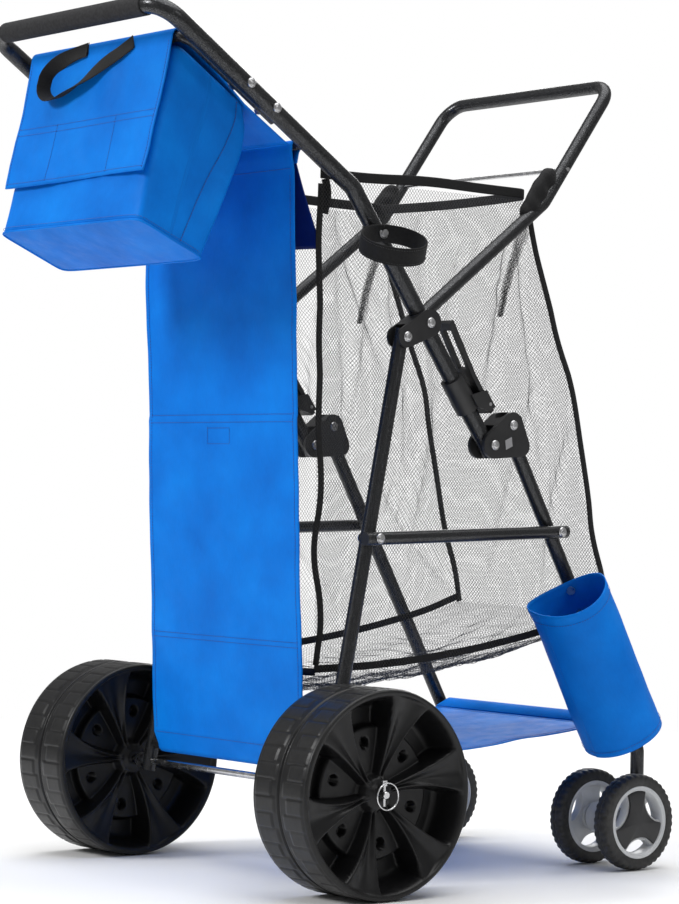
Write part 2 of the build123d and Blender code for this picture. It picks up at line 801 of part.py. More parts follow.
def frame_nodes():
    save("handle_tube", handle_tube())
    save("foam_grip", foam_grip())
    save("tote_hanger", tote_hanger())
    save("hanger_bolts", group(hanger_bolts()))
    save("hanger_caps", group(hanger_caps()))
    save("panel_top_bar", panel_top_bar())
    save("brackets", group(both(bracket())))
    save("frame_rivets", group(frame_rivets()))
    save("latch_sleeves", group(both(latch_sleeve())))
    save("latch_lever_right", latch_lever())
    save("latch_lever_left", left(latch_lever()))
    save("latch_pins", group(lever_pins() + latch_pivots()))
    save("umbrella_strap", umbrella_strap())
    save("umbrella_screw", umbrella_screw())


def soft_nodes():
    save("tote_body", tote_body())
    save("tote_flap", tote_flap())
    save("tote_handle", tote_handle())
    save("panel_upper", panel_upper())
    save("panel_lower", panel_lower())
    save("inner_flap", inner_flap())
    save("net_sides", group(both(net_wall())))
    save("net_front_floor", net_front_floor())
    save("net_rim", net_rim())
    save("net_ties", group(net_ties()))
    save("bottle_holder", bottle_holder())
    save("holder_base", holder_base())
    save("platform", platform())


def moving_nodes():
    save("bail_tube", bail_tube())
    save("cross_rod", cross_rod())
    save("bail_wraps", group(bail_wraps()))
    save("rear_legs", group(both(rear_leg())))
    save("bottom_bar", bottom_bar_tube())
    save("rear_axle", rear_axle())
    save("axle_spacers", group(axle_spacers()))
    save("linchpins", group(both(linchpin())))
    save("linchpin_ring_right", linchpin_ring())
    save("linchpin_ring_left", left(linchpin_ring()))
    save("wheel_tread_right", wheel_tread())
    save("wheel_tread_left", left(wheel_tread()))
    save("wheel_core_right", wheel_core())
    save("wheel_core_left", left(wheel_core()))
    save("brace_tubes", group(both(brace())))
    save("brace_plugs", group(brace_plugs()))
    save("brace_screws", group(brace_screws()))
    save("lower_legs", group(both(lower_leg())))
    save("front_cross_bar", front_cross_bar())
    save("latch_bodies", group(both(latch_body())))
    save("latch_rivets", group(latch_rivets()))
    save("caster_stems", group(caster_stems()))
    save("holder_screws", group(holder_screws()))


def caster_nodes():
    for name, way in (("right", lambda s: s), ("left", left)):
        save(f"caster_fork_{name}", way(caster_fork()))
        save(f"caster_tyres_{name}", group(way(s) for s in caster_tyres()))
        save(f"caster_rims_{name}", group(way(s) for s in caster_rims()))
        save(f"caster_covers_{name}", group(way(s) for s in caster_covers()))
        save(f"caster_axle_{name}", way(caster_axle_rod()))


frame_nodes()
soft_nodes()
moving_nodes()
caster_nodes()
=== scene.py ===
"""Folding beach cart: sewn cloth, net, moulded wheels and finishes, built round the cart's metal frame.

Shapes are worked out in millimetres with the rear axle at y = 0 and turned into metres in the cart's
frame when a mesh is made. Side-view points are written as (y, z).
"""
import math

import bmesh
import bpy
import numpy as np
from mathutils import Matrix, Vector


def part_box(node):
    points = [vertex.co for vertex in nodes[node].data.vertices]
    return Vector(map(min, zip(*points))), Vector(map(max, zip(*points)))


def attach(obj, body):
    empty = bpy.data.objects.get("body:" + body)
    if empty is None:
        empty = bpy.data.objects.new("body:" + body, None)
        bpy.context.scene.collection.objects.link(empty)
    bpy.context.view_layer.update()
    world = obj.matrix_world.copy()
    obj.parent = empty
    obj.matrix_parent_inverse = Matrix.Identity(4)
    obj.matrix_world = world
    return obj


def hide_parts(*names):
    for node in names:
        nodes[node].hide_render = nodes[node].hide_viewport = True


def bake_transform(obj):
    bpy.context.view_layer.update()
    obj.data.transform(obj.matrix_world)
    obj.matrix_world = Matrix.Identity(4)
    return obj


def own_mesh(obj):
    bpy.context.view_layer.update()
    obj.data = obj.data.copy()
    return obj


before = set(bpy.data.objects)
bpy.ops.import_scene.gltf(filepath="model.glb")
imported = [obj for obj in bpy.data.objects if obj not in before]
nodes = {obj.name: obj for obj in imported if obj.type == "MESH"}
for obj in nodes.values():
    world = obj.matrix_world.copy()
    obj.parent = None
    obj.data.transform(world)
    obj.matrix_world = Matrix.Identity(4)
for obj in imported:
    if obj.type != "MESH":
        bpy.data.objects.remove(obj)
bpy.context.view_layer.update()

MM = 0.001
AXLE_LOW, AXLE_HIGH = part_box("rear_axle")
AXLE_Y = (AXLE_LOW.y + AXLE_HIGH.y) / 2
WHEEL_R = 140.0
WHEEL_HALF = 57.0
WHEEL_MID_X = 287.0
MAIN_X = 205.0
LEG_X = 208.0
MAIN_R = 12.0
PANEL_HALF = 178.0
NET_HALF = 169.0
TOTE_HALF = 171.0

HANDLE = np.array((-288.0, 1165.0))
BEND = np.array((31.6, 949.0))
LATCH_PIVOT = np.array((278.0, 605.0))
LEG_PIVOT = np.array((118.0, 750.0))
BAIL_PIVOT = np.array((159.1, 771.0))
LEG_TOP = np.array((306.0, 645.0))
LEG_SLOPE = np.array((0.4887, -0.8724))
CROSS_BAR = np.array((552.5, 205.0))
BOTTOM_BAR = np.array((5.2, 166.5))
CASTER_AXLE = np.array((520.0, 69.0))
BRACE_REAR = np.array((64.6, 474.0))
BRACE_FRONT = np.array((396.2, 484.0))
STITCH_SIDES = 6
STITCH_LIFT = 0.15


# ---- mesh helpers ---------------------------------------------------------------------------
def grid_faces(rows, cols, wrap_rows=False, wrap_cols=False):
    """Quads of a rows x cols grid of points, joined round in the directions that wrap."""
    r = np.arange(rows if wrap_rows else rows - 1)
    c = np.arange(cols if wrap_cols else cols - 1)
    a, b = np.meshgrid(r, c, indexing="ij")
    a2, b2 = (a + 1) % rows, (b + 1) % cols
    return np.stack([a * cols + b, a2 * cols + b, a2 * cols + b2, a * cols + b2], -1).reshape(-1, 4)


def make_piece(name, points, faces, finish, uv=None, weld=True, smooth=True):
    """Mesh of quads from points in millimetres, welded where rows meet, its faces turned outwards."""
    mesh = bpy.data.meshes.new(name)
    place = points.reshape(-1, 3) * MM + np.array((0.0, AXLE_Y, 0.0))
    mesh.vertices.add(len(place))
    mesh.vertices.foreach_set("co", place.astype(np.float32).ravel())
    mesh.loops.add(faces.size)
    mesh.loops.foreach_set("vertex_index", faces.ravel().astype(np.int32))
    mesh.polygons.add(len(faces))
    mesh.polygons.foreach_set("loop_start", np.arange(len(faces), dtype=np.int32) * faces.shape[1])
    mesh.update(calc_edges=True)
    if uv is not None:
        layer = mesh.uv_layers.new(name="Cut")
        layer.data.foreach_set("uv", (uv.reshape(-1, 2)[faces.ravel()] * MM).astype(np.float32).ravel())
    mesh.validate()
    if weld:
        weld_mesh(mesh)
    mesh.polygons.foreach_set("use_smooth", np.full(len(mesh.polygons), smooth))
    piece = bpy.data.objects.new(name, mesh)
    bpy.context.scene.collection.objects.link(piece)
    piece.data.materials.append(finish)
    return piece


def weld_mesh(mesh):
    """Merges doubled points, drops faces with no area and turns the rest outwards."""
    work = bmesh.new()
    work.from_mesh(mesh)
    bmesh.ops.remove_doubles(work, verts=work.verts, dist=2e-6)
    bmesh.ops.dissolve_degenerate(work, edges=work.edges, dist=1e-7)
    bmesh.ops.recalc_face_normals(work, faces=work.faces)
    work.to_mesh(mesh)
    work.free()


def flat_edges(piece, degrees):
    """Keeps edges sharper than this angle crisp and shades the rest smoothly."""
    piece.data.set_sharp_from_angle(angle=math.radians(degrees))


def join_grids(parts):
    """Points and quads of several closed grids put together; each is (grid, rows wrap round)."""
    points, faces, start = [], [], 0
    for grid, wrap in parts:
        faces.append(grid_faces(grid.shape[0], grid.shape[1], wrap_rows=wrap, wrap_cols=True) + start)
        points.append(grid.reshape(-1, 3))
        start += grid.shape[0] * grid.shape[1]
    return np.concatenate(points), np.concatenate(faces)


def step_up(value, low, high):
    """Smooth rise from 0 at low to 1 at high: three times the share squared less twice its cube."""
    t = np.clip((value - low) / (high - low), 0, 1)
    return t * t * (3 - 2 * t)


def lengths(path):
    """Distance along a path of points at each of them."""
    return np.concatenate([[0.0], np.cumsum(np.linalg.norm(np.diff(path, axis=0), axis=1))])


def even(path, step):
    """The same path with points at equal distances of about step."""
    run = lengths(path)
    count = max(2, int(round(run[-1] / step)) + 1)
    at = np.linspace(0, run[-1], count)
    return np.stack([np.interp(at, run, path[:, k]) for k in range(path.shape[1])], -1)


def rounded(path, rounds=3):
    """Corners cut off a path again and again, which leaves a smooth curve with the same ends."""
    path = np.asarray(path, float)
    for _ in range(rounds):
        first = path[:-1] * 0.75 + path[1:] * 0.25
        second = path[:-1] * 0.25 + path[1:] * 0.75
        inner = np.stack([first, second], 1).reshape(-1, path.shape[1])
        path = np.concatenate([path[:1], inner, path[-1:]])
    return path


def tangents(path):
    """Unit direction of travel at each point, from its neighbours on either side."""
    run = np.gradient(path, axis=0)
    return run / np.maximum(np.linalg.norm(run, axis=1, keepdims=True), 1e-9)


def outward_from(points, middle):
    """Unit directions from one middle point to each of the points."""
    out = points - middle
    return out / np.linalg.norm(out, axis=1, keepdims=True)


def arc(centre, r, start, end, count):
    """Points of a circle's arc from start to end degrees: centre plus radius times cosine and sine."""
    angle = np.radians(np.linspace(start, end, count))
    return np.stack([centre[0] + r * np.cos(angle), centre[1] + r * np.sin(angle)], -1)


def in_side(path, x):
    """Side-view path set at this x."""
    path = np.asarray(path, float)
    return np.column_stack([np.full(len(path), float(x)), path])


def soft_rectangle(width, thick, power, sides):
    """A band's cross-section: the cosine and sine of an even turn, each raised to a power below
    one so that the circle squares up, times half the width and half the thickness."""
    angle = np.linspace(0, 2 * np.pi, sides, endpoint=False)
    wide = np.sign(np.cos(angle)) * np.abs(np.cos(angle)) ** power * width / 2
    high = np.sign(np.sin(angle)) * np.abs(np.sin(angle)) ** power * thick / 2
    return wide, high


def strap_grid(path, across, width, thick, power=0.35, sides=14):
    """Points and UV of a closed band: a soft rectangle carried along the path with its width
    along across, each point the path's own plus wide and outward shares, and both ends drawn
    together to a point."""
    run = tangents(path)
    out = np.cross(run, across)
    out /= np.linalg.norm(out, axis=1, keepdims=True)
    wide = np.cross(out, run)
    sx, sz = soft_rectangle(width, thick, power, sides)
    rings = path[:, None] + wide[:, None] * sx[None, :, None] + out[:, None] * sz[None, :, None]
    first = np.repeat(path[:1, None], sides, 1)
    last = np.repeat(path[-1:, None], sides, 1)
    rings = np.concatenate([first, rings, last])
    edge = np.concatenate([[0], np.cumsum(np.hypot(np.diff(sx), np.diff(sz)))])
    far = lengths(path)
    far = np.concatenate([far[:1], far, far[-1:]])
    uv = np.stack(np.broadcast_arrays(edge[None, :], far[:, None]), -1)
    return rings, uv


def strap(name, path, across, width, thick, finish, **shape):
    """One band as a piece: a soft rectangle carried along the path."""
    return straps(name, [(path, across)], width, thick, finish, **shape)


def straps(name, runs, width, thick, finish, **shape):
    """Several bands as one piece. Each run is (path, across)."""
    grids, cuts = [], []
    for path, across in runs:
        path = np.asarray(path, float)
        across = np.broadcast_to(np.asarray(across, float), path.shape)
        rings, uv = strap_grid(path, across, width, thick, **shape)
        grids.append((rings, False))
        cuts.append(uv.reshape(-1, 2))
    points, faces = join_grids(grids)
    return make_piece(name, points, faces, finish, np.concatenate(cuts))


def cloth(name, sheet, finish, thick=1.4):
    """Sheet of cloth from a grid of points, with a real thickness. Its UV is the real distance
    along its middle row and down its middle column."""
    rows, cols = sheet.shape[:2]
    down = lengths(sheet[:, cols // 2])
    over = lengths(sheet[rows // 2])
    uv = np.stack(np.broadcast_arrays(over[None, :], down[:, None]), -1)
    piece = make_piece(name, sheet, grid_faces(rows, cols), finish, uv)
    solid = piece.modifiers.new("cloth", "SOLIDIFY")
    solid.thickness = thick * MM
    solid.offset = 0.0
    return piece


def stitch_shape(long, thick):
    """One stitch along x: six-sided rings of half the thickness, nearly closed at both ends."""
    ring = np.linspace(0, 2 * np.pi, STITCH_SIDES, endpoint=False)
    along = np.array((-0.5, -0.4, 0.4, 0.5)) * long
    size = np.array((0.05, 1.0, 1.0, 0.05)) * thick / 2
    wide = size[:, None] * np.cos(ring)
    high = size[:, None] * np.sin(ring)
    return np.stack(np.broadcast_arrays(along[:, None], wide, high), -1).reshape(-1, 3)


def stitches(name, runs, finish, pitch=4.2, long=2.9, thick=0.75):
    """Sewing thread lying on a surface: short stitches, one after another along each path, each
    turned to the path's direction, across it and outwards. Each run is (path, outward direction)."""
    base = stitch_shape(long, thick)
    faces = grid_faces(len(base) // STITCH_SIDES, STITCH_SIDES, wrap_cols=True)
    points, quads, start = [], [], 0
    for path, out in runs:
        path = even(np.asarray(path, float), pitch)
        run = tangents(path)
        out = np.broadcast_to(np.asarray(out, float), path.shape)
        wide = np.cross(run, out)
        wide /= np.linalg.norm(wide, axis=1, keepdims=True)
        up = np.cross(wide, run)
        axes = np.stack([run, wide, up], 1)
        made = path[:, None] + up[:, None] * STITCH_LIFT + np.einsum("ki,nij->nkj", base, axes)
        points.append(made.reshape(-1, 3))
        offset = np.arange(len(path))[:, None, None] * len(base)
        quads.append((faces[None] + offset).reshape(-1, 4) + start)
        start += len(path) * len(base)
    return make_piece(name, np.concatenate(points), np.concatenate(quads), finish, weld=False)


def ripple(a, b, seed, scale=60.0, octaves=3):
    """Gentle uneven swell from -1 to 1: sine waves of several lengths and directions, added up,
    the shorter ones lower."""
    made = np.zeros(np.broadcast(a, b).shape)
    rng = np.random.default_rng(seed)
    for k in range(octaves * 3):
        turn, phase = rng.uniform(0, 2 * np.pi, 2)
        wave = scale * rng.uniform(0.6, 1.5) / (1 + k // 3 * 0.8)
        along = a * np.cos(turn) + b * np.sin(turn)
        made = made + np.sin(along / wave * 2 * np.pi + phase) / (1 + k // 3)
    return made / 3.5


# ---- finishes -------------------------------------------------------------------------------
class Finish:
    """One node-built material. Each method adds nodes; those that make a pattern hand back the
    output to wire on."""

    def __init__(self, name, base, rough, metal=0.0, sheen=0.0, coat=0.0):
        self.material = bpy.data.materials.new(name)
        self.material.use_nodes = True
        self.tree = self.material.node_tree
        self.shader = self.tree.nodes["Principled BSDF"]
        self.shader.inputs["Base Color"].default_value = (*base, 1)
        self.shader.inputs["Roughness"].default_value = rough
        self.shader.inputs["Metallic"].default_value = metal
        self.shader.inputs["Sheen Weight"].default_value = sheen
        self.shader.inputs["Coat Weight"].default_value = coat
        self.coords = self.tree.nodes.new("ShaderNodeTexCoord")
        self.bumped = None

    def node(self, kind, **values):
        """New node, with each value set on the input or the property of that name."""
        made = self.tree.nodes.new(kind)
        for key, value in values.items():
            if key in made.inputs:
                made.inputs[key].default_value = value
            else:
                setattr(made, key, value)
        return made

    def wire(self, source, target):
        """Link from an output to an input."""
        self.tree.links.new(source, target)

    def noise(self, size, detail=3.0, on="Object", stretch=(1, 1, 1), rough=0.5):
        """Noise whose lumps are about size metres across."""
        where = self.node("ShaderNodeMapping", Scale=stretch)
        self.wire(self.coords.outputs[on], where.inputs["Vector"])
        made = self.node("ShaderNodeTexNoise", Scale=1.0 / size, Detail=detail, Roughness=rough)
        self.wire(where.outputs["Vector"], made.inputs["Vector"])
        return made.outputs["Fac"]

    def cells(self, size, on="Object"):
        """Distance to the nearest of scattered points, about size metres apart."""
        made = self.node("ShaderNodeTexVoronoi", Scale=1.0 / size)
        self.wire(self.coords.outputs[on], made.inputs["Vector"])
        return made.outputs["Distance"]

    def bands(self, pitch, direction, on="UV", distortion=0.0):
        """Even ridges, one every pitch metres."""
        made = self.node("ShaderNodeTexWave", Scale=2 * math.pi / (20 * pitch), Distortion=distortion)
        made.bands_direction = direction
        self.wire(self.coords.outputs[on], made.inputs["Vector"])
        return made.outputs["Fac"]

    def maths(self, how, a, b):
        """Sum or product of two patterns or numbers."""
        made = self.node("ShaderNodeMath", operation=how)
        for socket, value in zip(made.inputs, (a, b)):
            if isinstance(value, float):
                socket.default_value = value
            else:
                self.wire(value, socket)
        return made.outputs[0]

    def spread(self, fac, low, high, start=0.3, end=0.7):
        """fac from start to end stretched to low to high."""
        made = self.node("ShaderNodeMapRange")
        for key, value in (("From Min", start), ("From Max", end), ("To Min", low), ("To Max", high)):
            made.inputs[key].default_value = value
        self.wire(fac, made.inputs["Value"])
        return made.outputs[0]

    def colours(self, fac, *stops):
        """Base colour from a pattern by a ramp of (place, colour) stops."""
        made = self.node("ShaderNodeValToRGB")
        ramp = made.color_ramp
        while len(ramp.elements) < len(stops):
            ramp.elements.new(0.5)
        for element, (at, colour) in zip(ramp.elements, stops):
            element.position = at
            element.color = (*colour, 1)
        self.wire(fac, made.inputs["Fac"])
        self.wire(made.outputs["Color"], self.shader.inputs["Base Color"])

    def rough(self, fac, low, high, start=0.3, end=0.7):
        """Roughness from a pattern, stretched to low to high."""
        self.wire(self.spread(fac, low, high, start, end), self.shader.inputs["Roughness"])

    def bump(self, fac, height, strength=1.0):
        """Relief height metres deep from a pattern, on top of the relief already there."""
        made = self.node("ShaderNodeBump", Strength=strength, Distance=height)
        self.wire(fac, made.inputs["Height"])
        if self.bumped:
            self.wire(self.bumped, made.inputs["Normal"])
        self.bumped = made.outputs["Normal"]
        self.wire(self.bumped, self.shader.inputs["Normal"])


def hammered_paint():
    """Gunmetal powder coat with a fine speckle of light flecks and a dimpled skin."""
    f = Finish("gunmetal_speckle", (0.05, 0.05, 0.052), 0.4, metal=0.7)
    fleck = f.noise(0.0012, 2.0, rough=0.7)
    dark = (0.018, 0.018, 0.020)
    grey = (0.045, 0.046, 0.048)
    bright = (0.20, 0.205, 0.21)
    f.colours(fleck, (0.40, dark), (0.56, grey), (0.74, bright))
    f.rough(fleck, 0.36, 0.2)
    f.bump(f.cells(0.0024), 0.00016, 0.6)
    f.bump(f.noise(0.03, 2.0), 0.0002, 0.3)
    return f.material


def plated(name, base, size, low, high):
    """Plated steel: fine drawn scratches and cloudy roughness."""
    f = Finish(name, base, 0.3, metal=1.0)
    cloud = f.noise(size, 4.0)
    tone = tuple(c * 0.72 for c in base)
    f.colours(cloud, (0.3, tone), (0.7, base))
    f.rough(cloud, low, high)
    f.bump(f.noise(0.0008, 2.0, stretch=(0.15, 1, 1)), 0.00004, 0.5)
    return f.material


def moulded(name, dark, light, low, high, grain=0.0009):
    """Moulded plastic: a fine spark-eroded grain, flow marks and scuffed patches."""
    f = Finish(name, dark, 0.5)
    cloud = f.noise(0.05, 5.0)
    f.colours(cloud, (0.35, dark), (0.7, light))
    f.rough(f.noise(0.012, 5.0), low, high)
    f.bump(f.noise(grain, 2.0), 0.00006, 0.6)
    return f.material


def wheel_plastic():
    """Blow-moulded wheel skin, with dusty scuffs where the rub attribute says it wears."""
    f = Finish("wheel_black", (0.008, 0.008, 0.009), 0.45)
    f.shader.inputs["Specular IOR Level"].default_value = 0.3
    rub = f.node("ShaderNodeAttribute", attribute_name="rub").outputs["Fac"]
    dust = f.maths("MULTIPLY", rub, f.noise(0.006, 6.0, rough=0.7))
    f.colours(dust, (0.15, (0.005, 0.005, 0.0055)), (0.8, (0.015, 0.015, 0.015)))
    f.rough(f.noise(0.01, 5.0), 0.30, 0.44)
    f.bump(f.noise(0.0011, 2.0), 0.00006, 0.6)
    f.bump(f.noise(0.03, 2.0), 0.0006, 0.3)
    return f.material


def oxford(name, deep, mid, bright):
    """Coated oxford cloth: over-and-under yarns, slubs, soft shading and a faint sheen."""
    f = Finish(name, mid, 0.55)
    f.shader.inputs["Specular IOR Level"].default_value = 0.10
    weave = f.maths("MULTIPLY", f.bands(0.0011, "X", distortion=0.4), f.bands(0.0011, "Y", distortion=0.4))
    cloud = f.noise(0.09, 4.0, on="UV")
    slub = f.noise(0.003, 3.0, on="UV", stretch=(1, 0.3, 1))
    shade = f.maths("ADD", f.maths("MULTIPLY", cloud, 0.8), f.maths("MULTIPLY", slub, 0.14))
    shade = f.maths("ADD", shade, f.maths("MULTIPLY", weave, 0.06))
    f.colours(shade, (0.25, deep), (0.5, mid), (0.75, bright))
    f.rough(f.noise(0.02, 4.0, on="UV"), 0.46, 0.62)
    f.bump(weave, 0.00012, 0.35)
    f.bump(slub, 0.00008, 0.3)
    f.bump(f.noise(0.05, 3.0, on="UV"), 0.003, 0.35)
    return f.material


def ribbed_webbing():
    """Black webbing: cross ribs, a herringbone of fine yarns and pale lint."""
    f = Finish("webbing", (0.006, 0.006, 0.007), 0.8, sheen=0.05)
    f.shader.inputs["Specular IOR Level"].default_value = 0.25
    ribs = f.bands(0.0016, "Y")
    yarn = f.bands(0.0009, "DIAGONAL")
    lint = f.maths("MULTIPLY", ribs, f.noise(0.003, 4.0))
    f.colours(lint, (0.1, (0.004, 0.004, 0.0045)), (0.7, (0.018, 0.018, 0.019)))
    f.bump(ribs, 0.0004, 0.6)
    f.bump(yarn, 0.00015, 0.5)
    return f.material


def knitted_net():
    """Black knitted thread: soft lint and a fuzzy skin."""
    f = Finish("net_thread", (0.012, 0.012, 0.013), 0.6, sheen=0.1)
    f.colours(f.noise(0.008, 4.0), (0.3, (0.003, 0.003, 0.0035)), (0.7, (0.010, 0.010, 0.011)))
    f.bump(f.noise(0.0006, 2.0), 0.0001, 0.6)
    return f.material


def foam_skin():
    """Closed-cell foam: tiny pores, mottled charcoal."""
    f = Finish("grip_foam", (0.02, 0.02, 0.021), 0.8)
    f.shader.inputs["Specular IOR Level"].default_value = 0.25
    f.colours(f.noise(0.004, 5.0), (0.3, (0.016, 0.016, 0.017)), (0.7, (0.030, 0.030, 0.032)))
    f.bump(f.cells(0.0008), 0.0002, 0.6)
    f.bump(f.noise(0.02, 3.0), 0.0006, 0.3)
    return f.material


def tyre_rubber():
    """Grey-black rubber with dusty patches and a fine moulded grain."""
    f = Finish("caster_rubber", (0.012, 0.012, 0.012), 0.6)
    f.colours(f.noise(0.006, 5.0), (0.3, (0.008, 0.008, 0.008)), (0.75, (0.028, 0.027, 0.026)))
    f.rough(f.noise(0.01, 4.0), 0.42, 0.66)
    f.bump(f.noise(0.0012, 2.0), 0.00008, 0.7)
    return f.material


def sewing_thread(name, dark, light):
    """Twisted thread: two tones in short lengths and a fine fuzz."""
    f = Finish(name, dark, 0.5, sheen=0.2)
    f.colours(f.noise(0.002, 3.0), (0.3, dark), (0.7, light))
    f.bump(f.noise(0.0004, 2.0), 0.0001, 0.5)
    return f.material


PAINT = hammered_paint()
ZINC = plated("zinc_plate", (0.62, 0.62, 0.63), 0.004, 0.25, 0.42)
STEEL = plated("drawn_steel", (0.72, 0.72, 0.73), 0.01, 0.14, 0.3)
PLASTIC = moulded("black_moulding", (0.011, 0.011, 0.012), (0.019, 0.019, 0.02), 0.32, 0.5)
COVER_PLASTIC = moulded("cover_moulding", (0.009, 0.009, 0.010), (0.016, 0.016, 0.017), 0.38, 0.5)
GREY = moulded("pale_moulding", (0.50, 0.51, 0.52), (0.62, 0.63, 0.64), 0.28, 0.42)
WHEEL_BLACK = wheel_plastic()
BLUE = oxford("blue_oxford", (0.0008, 0.13, 0.55), (0.001, 0.175, 0.68), (0.002, 0.23, 0.80))
# Darker navy copy of the blue oxford for the inner flap, which is the blue cloth's back side: painted
# shade.
BLUE_IN_PAINTED_SHADE = oxford("blue_oxford_painted_shade", (0.002, 0.012, 0.10), (0.003, 0.018, 0.15), (0.005, 0.03, 0.21))
WEBBING = ribbed_webbing()
NET = knitted_net()
FOAM = foam_skin()
RUBBER = tyre_rubber()
BLUE_THREAD = sewing_thread("blue_thread", (0.001, 0.035, 0.25), (0.002, 0.07, 0.42))
DARK_THREAD = sewing_thread("dark_thread", (0.004, 0.004, 0.005), (0.014, 0.014, 0.015))
LABEL = moulded("plain_label", (0.26, 0.26, 0.27), (0.36, 0.36, 0.37), 0.4, 0.6, grain=0.002)

FRAME_FINISHES = (
    (PAINT, "handle_tube tote_hanger panel_top_bar bail_tube rear_legs bottom_bar brace_tubes lower_legs"),
    (PAINT, "front_cross_bar"),
    (ZINC, "hanger_bolts frame_rivets latch_pins latch_rivets brace_screws umbrella_screw holder_screws"),
    (ZINC, "caster_stems axle_spacers"),
    (STEEL, "rear_axle linchpins linchpin_ring_right linchpin_ring_left cross_rod"),
    (STEEL, "caster_axle_right caster_axle_left"),
    (PLASTIC, "brackets latch_sleeves latch_bodies latch_lever_right latch_lever_left"),
    (PLASTIC, "brace_plugs hanger_caps"),
    (GREY, "caster_fork_right caster_fork_left"),
    (FOAM, "foam_grip"),
)
for finish, names in FRAME_FINISHES:
    for node_name in names.split():
        nodes[node_name].data.materials.clear()
        nodes[node_name].data.materials.append(finish)


# ---- big wheels -----------------------------------------------------------------------------
SPOKE_TURN = 60.0
SPOKE_START = 42.6
HALF_SHIFT = np.radians(20.0)
SHOULDER_R = 4.2
LUGS = 40
WHEEL_STEPS = 480


def from_spoke(turn, share):
    """Angle off the middle of the pad between two spokes, the angle past the near spoke's edge,
    and that spoke's half width, which grows with the radius, while the spoke leans near the hub."""
    half = SPOKE_TURN / 2
    sector = (np.degrees(turn) - SPOKE_START + half) % SPOKE_TURN - half
    half_blade = 6.0 + 7.0 * share ** 1.6
    lean = 3.5 * (1 - share)
    past_edge = (half - np.abs(sector)) - half_blade + np.where(sector > 0, lean, -lean)
    return sector, past_edge, half_blade


def pad_depth(r, share):
    """Depth of the pads between the spokes: a gentle slope, a deep pocket beyond the holes, and
    a rise to the rim."""
    pocket = step_up(r, WHEEL_R * 0.63, WHEEL_R * 0.66) * (1 - step_up(r, WHEEL_R * 0.80, WHEEL_R * 0.93))
    floor = 36.0 - 3.0 * share + 15.0 * pocket
    rise = step_up(r, WHEEL_R * 0.84, WHEEL_R * 0.935)
    return floor * (1 - rise) + 2.0 * rise


def face_depth(r, turn):
    """How far the wheel's face lies in from its rim: six raised spokes that widen to the rim and
    fall towards the hub, a flat pad with a hole between each pair, and a deep pocket beyond it."""
    share = np.clip((r - 25.0) / (WHEEL_R - 38.0), 0, 1)
    sector, past_edge, half_blade = from_spoke(turn, share)
    gap = past_edge * np.radians(1.0) * r
    inside = step_up(gap, 0.0, 6.0)
    crown = np.cos(np.pi * np.clip(past_edge / half_blade + 1, -1, 1))
    blade = 26.0 - 21.0 * share + 2.5 * crown
    depth = blade * (1 - inside) + pad_depth(r, share) * inside
    crease = np.exp(-((gap + 1.2) / 1.1) ** 2) * step_up(r, 30.0, 40.0) * (1 - step_up(r, 108.0, 118.0))
    depth = depth - 1.6 * crease * (sector > 0)
    hole_r = np.hypot(r * np.cos(np.radians(sector)) - WHEEL_R * 0.49, r * np.sin(np.radians(sector)))
    depth = depth + 14.0 * (1 - step_up(hole_r, 5.6, 7.8))
    hub = 1 - step_up(r, 20.0, 27.0)
    collar = 17.0 + 3.0 * step_up(r, 13.0, 15.0)
    depth = depth * (1 - hub) + collar * hub
    lip = step_up(r, WHEEL_R * 0.925, WHEEL_R * 0.945)
    return depth * (1 - lip) + 0.4 * lip


def tread_height(x, turn):
    """Lug relief on the tread: rectangles with soft edges, every other one shorter, on each side
    of the middle groove."""
    place = np.degrees(turn) / (360.0 / LUGS)
    odd = np.floor(place) % 2
    within = np.abs(place - np.floor(place) - 0.5) * 2
    reach = np.abs(x)
    start = np.where((odd > 0) == (x > 0), 9.0, 17.0)
    across = step_up(reach, start - 1.2, start + 1.2) * (1 - step_up(reach, 49.0, 51.0))
    return across * (1 - step_up(within, 0.80, 0.95))


def wheel_rings():
    """Radii of the rings on a face, from the bore to the rim, and x of the rings over half the
    tread, from the shoulder to the middle."""
    hub = (5.3, 9, 13, 15, 19, 22, 25, 27.5)
    radii = np.concatenate([hub, np.linspace(30, WHEEL_R * 0.93, 46), (131.2, 132.4, 134.6)])
    side = np.concatenate([np.linspace(WHEEL_HALF - SHOULDER_R, 4.2, 22), (3.0, 2.0, 1.0)])
    return radii, side


def wheel_half(sense, turns):
    """Rings of half the wheel as rows of (x, radius, wear): the face sunk by face_depth, a
    quarter round shoulder, and the tread with its lugs raised and its middle groove sunk."""
    radii, side = wheel_rings()
    level = np.ones_like(turns)
    spin = turns if sense > 0 else turns + HALF_SHIFT
    rows = []
    for r in radii:
        x = sense * (WHEEL_HALF - face_depth(r * level, spin))
        rows.append((x, r * level, (0.9 if r > 130 else 0.25) * level))
    for angle in np.radians((20, 50, 80)):
        x = WHEEL_HALF - SHOULDER_R * (1 - np.cos(angle))
        r = WHEEL_R - 5.6 + SHOULDER_R * np.sin(angle)
        rows.append((sense * x * level, r * level, level))
    for x in side:
        lug = tread_height(sense * x * level, turns)
        groove = 2.6 * (1 - step_up(abs(x), 1.4, 3.0))
        rows.append((sense * x * level, WHEEL_R - 1.4 + 1.3 * lug - groove, 0.35 + 0.65 * lug))
    return rows if sense > 0 else rows[::-1]


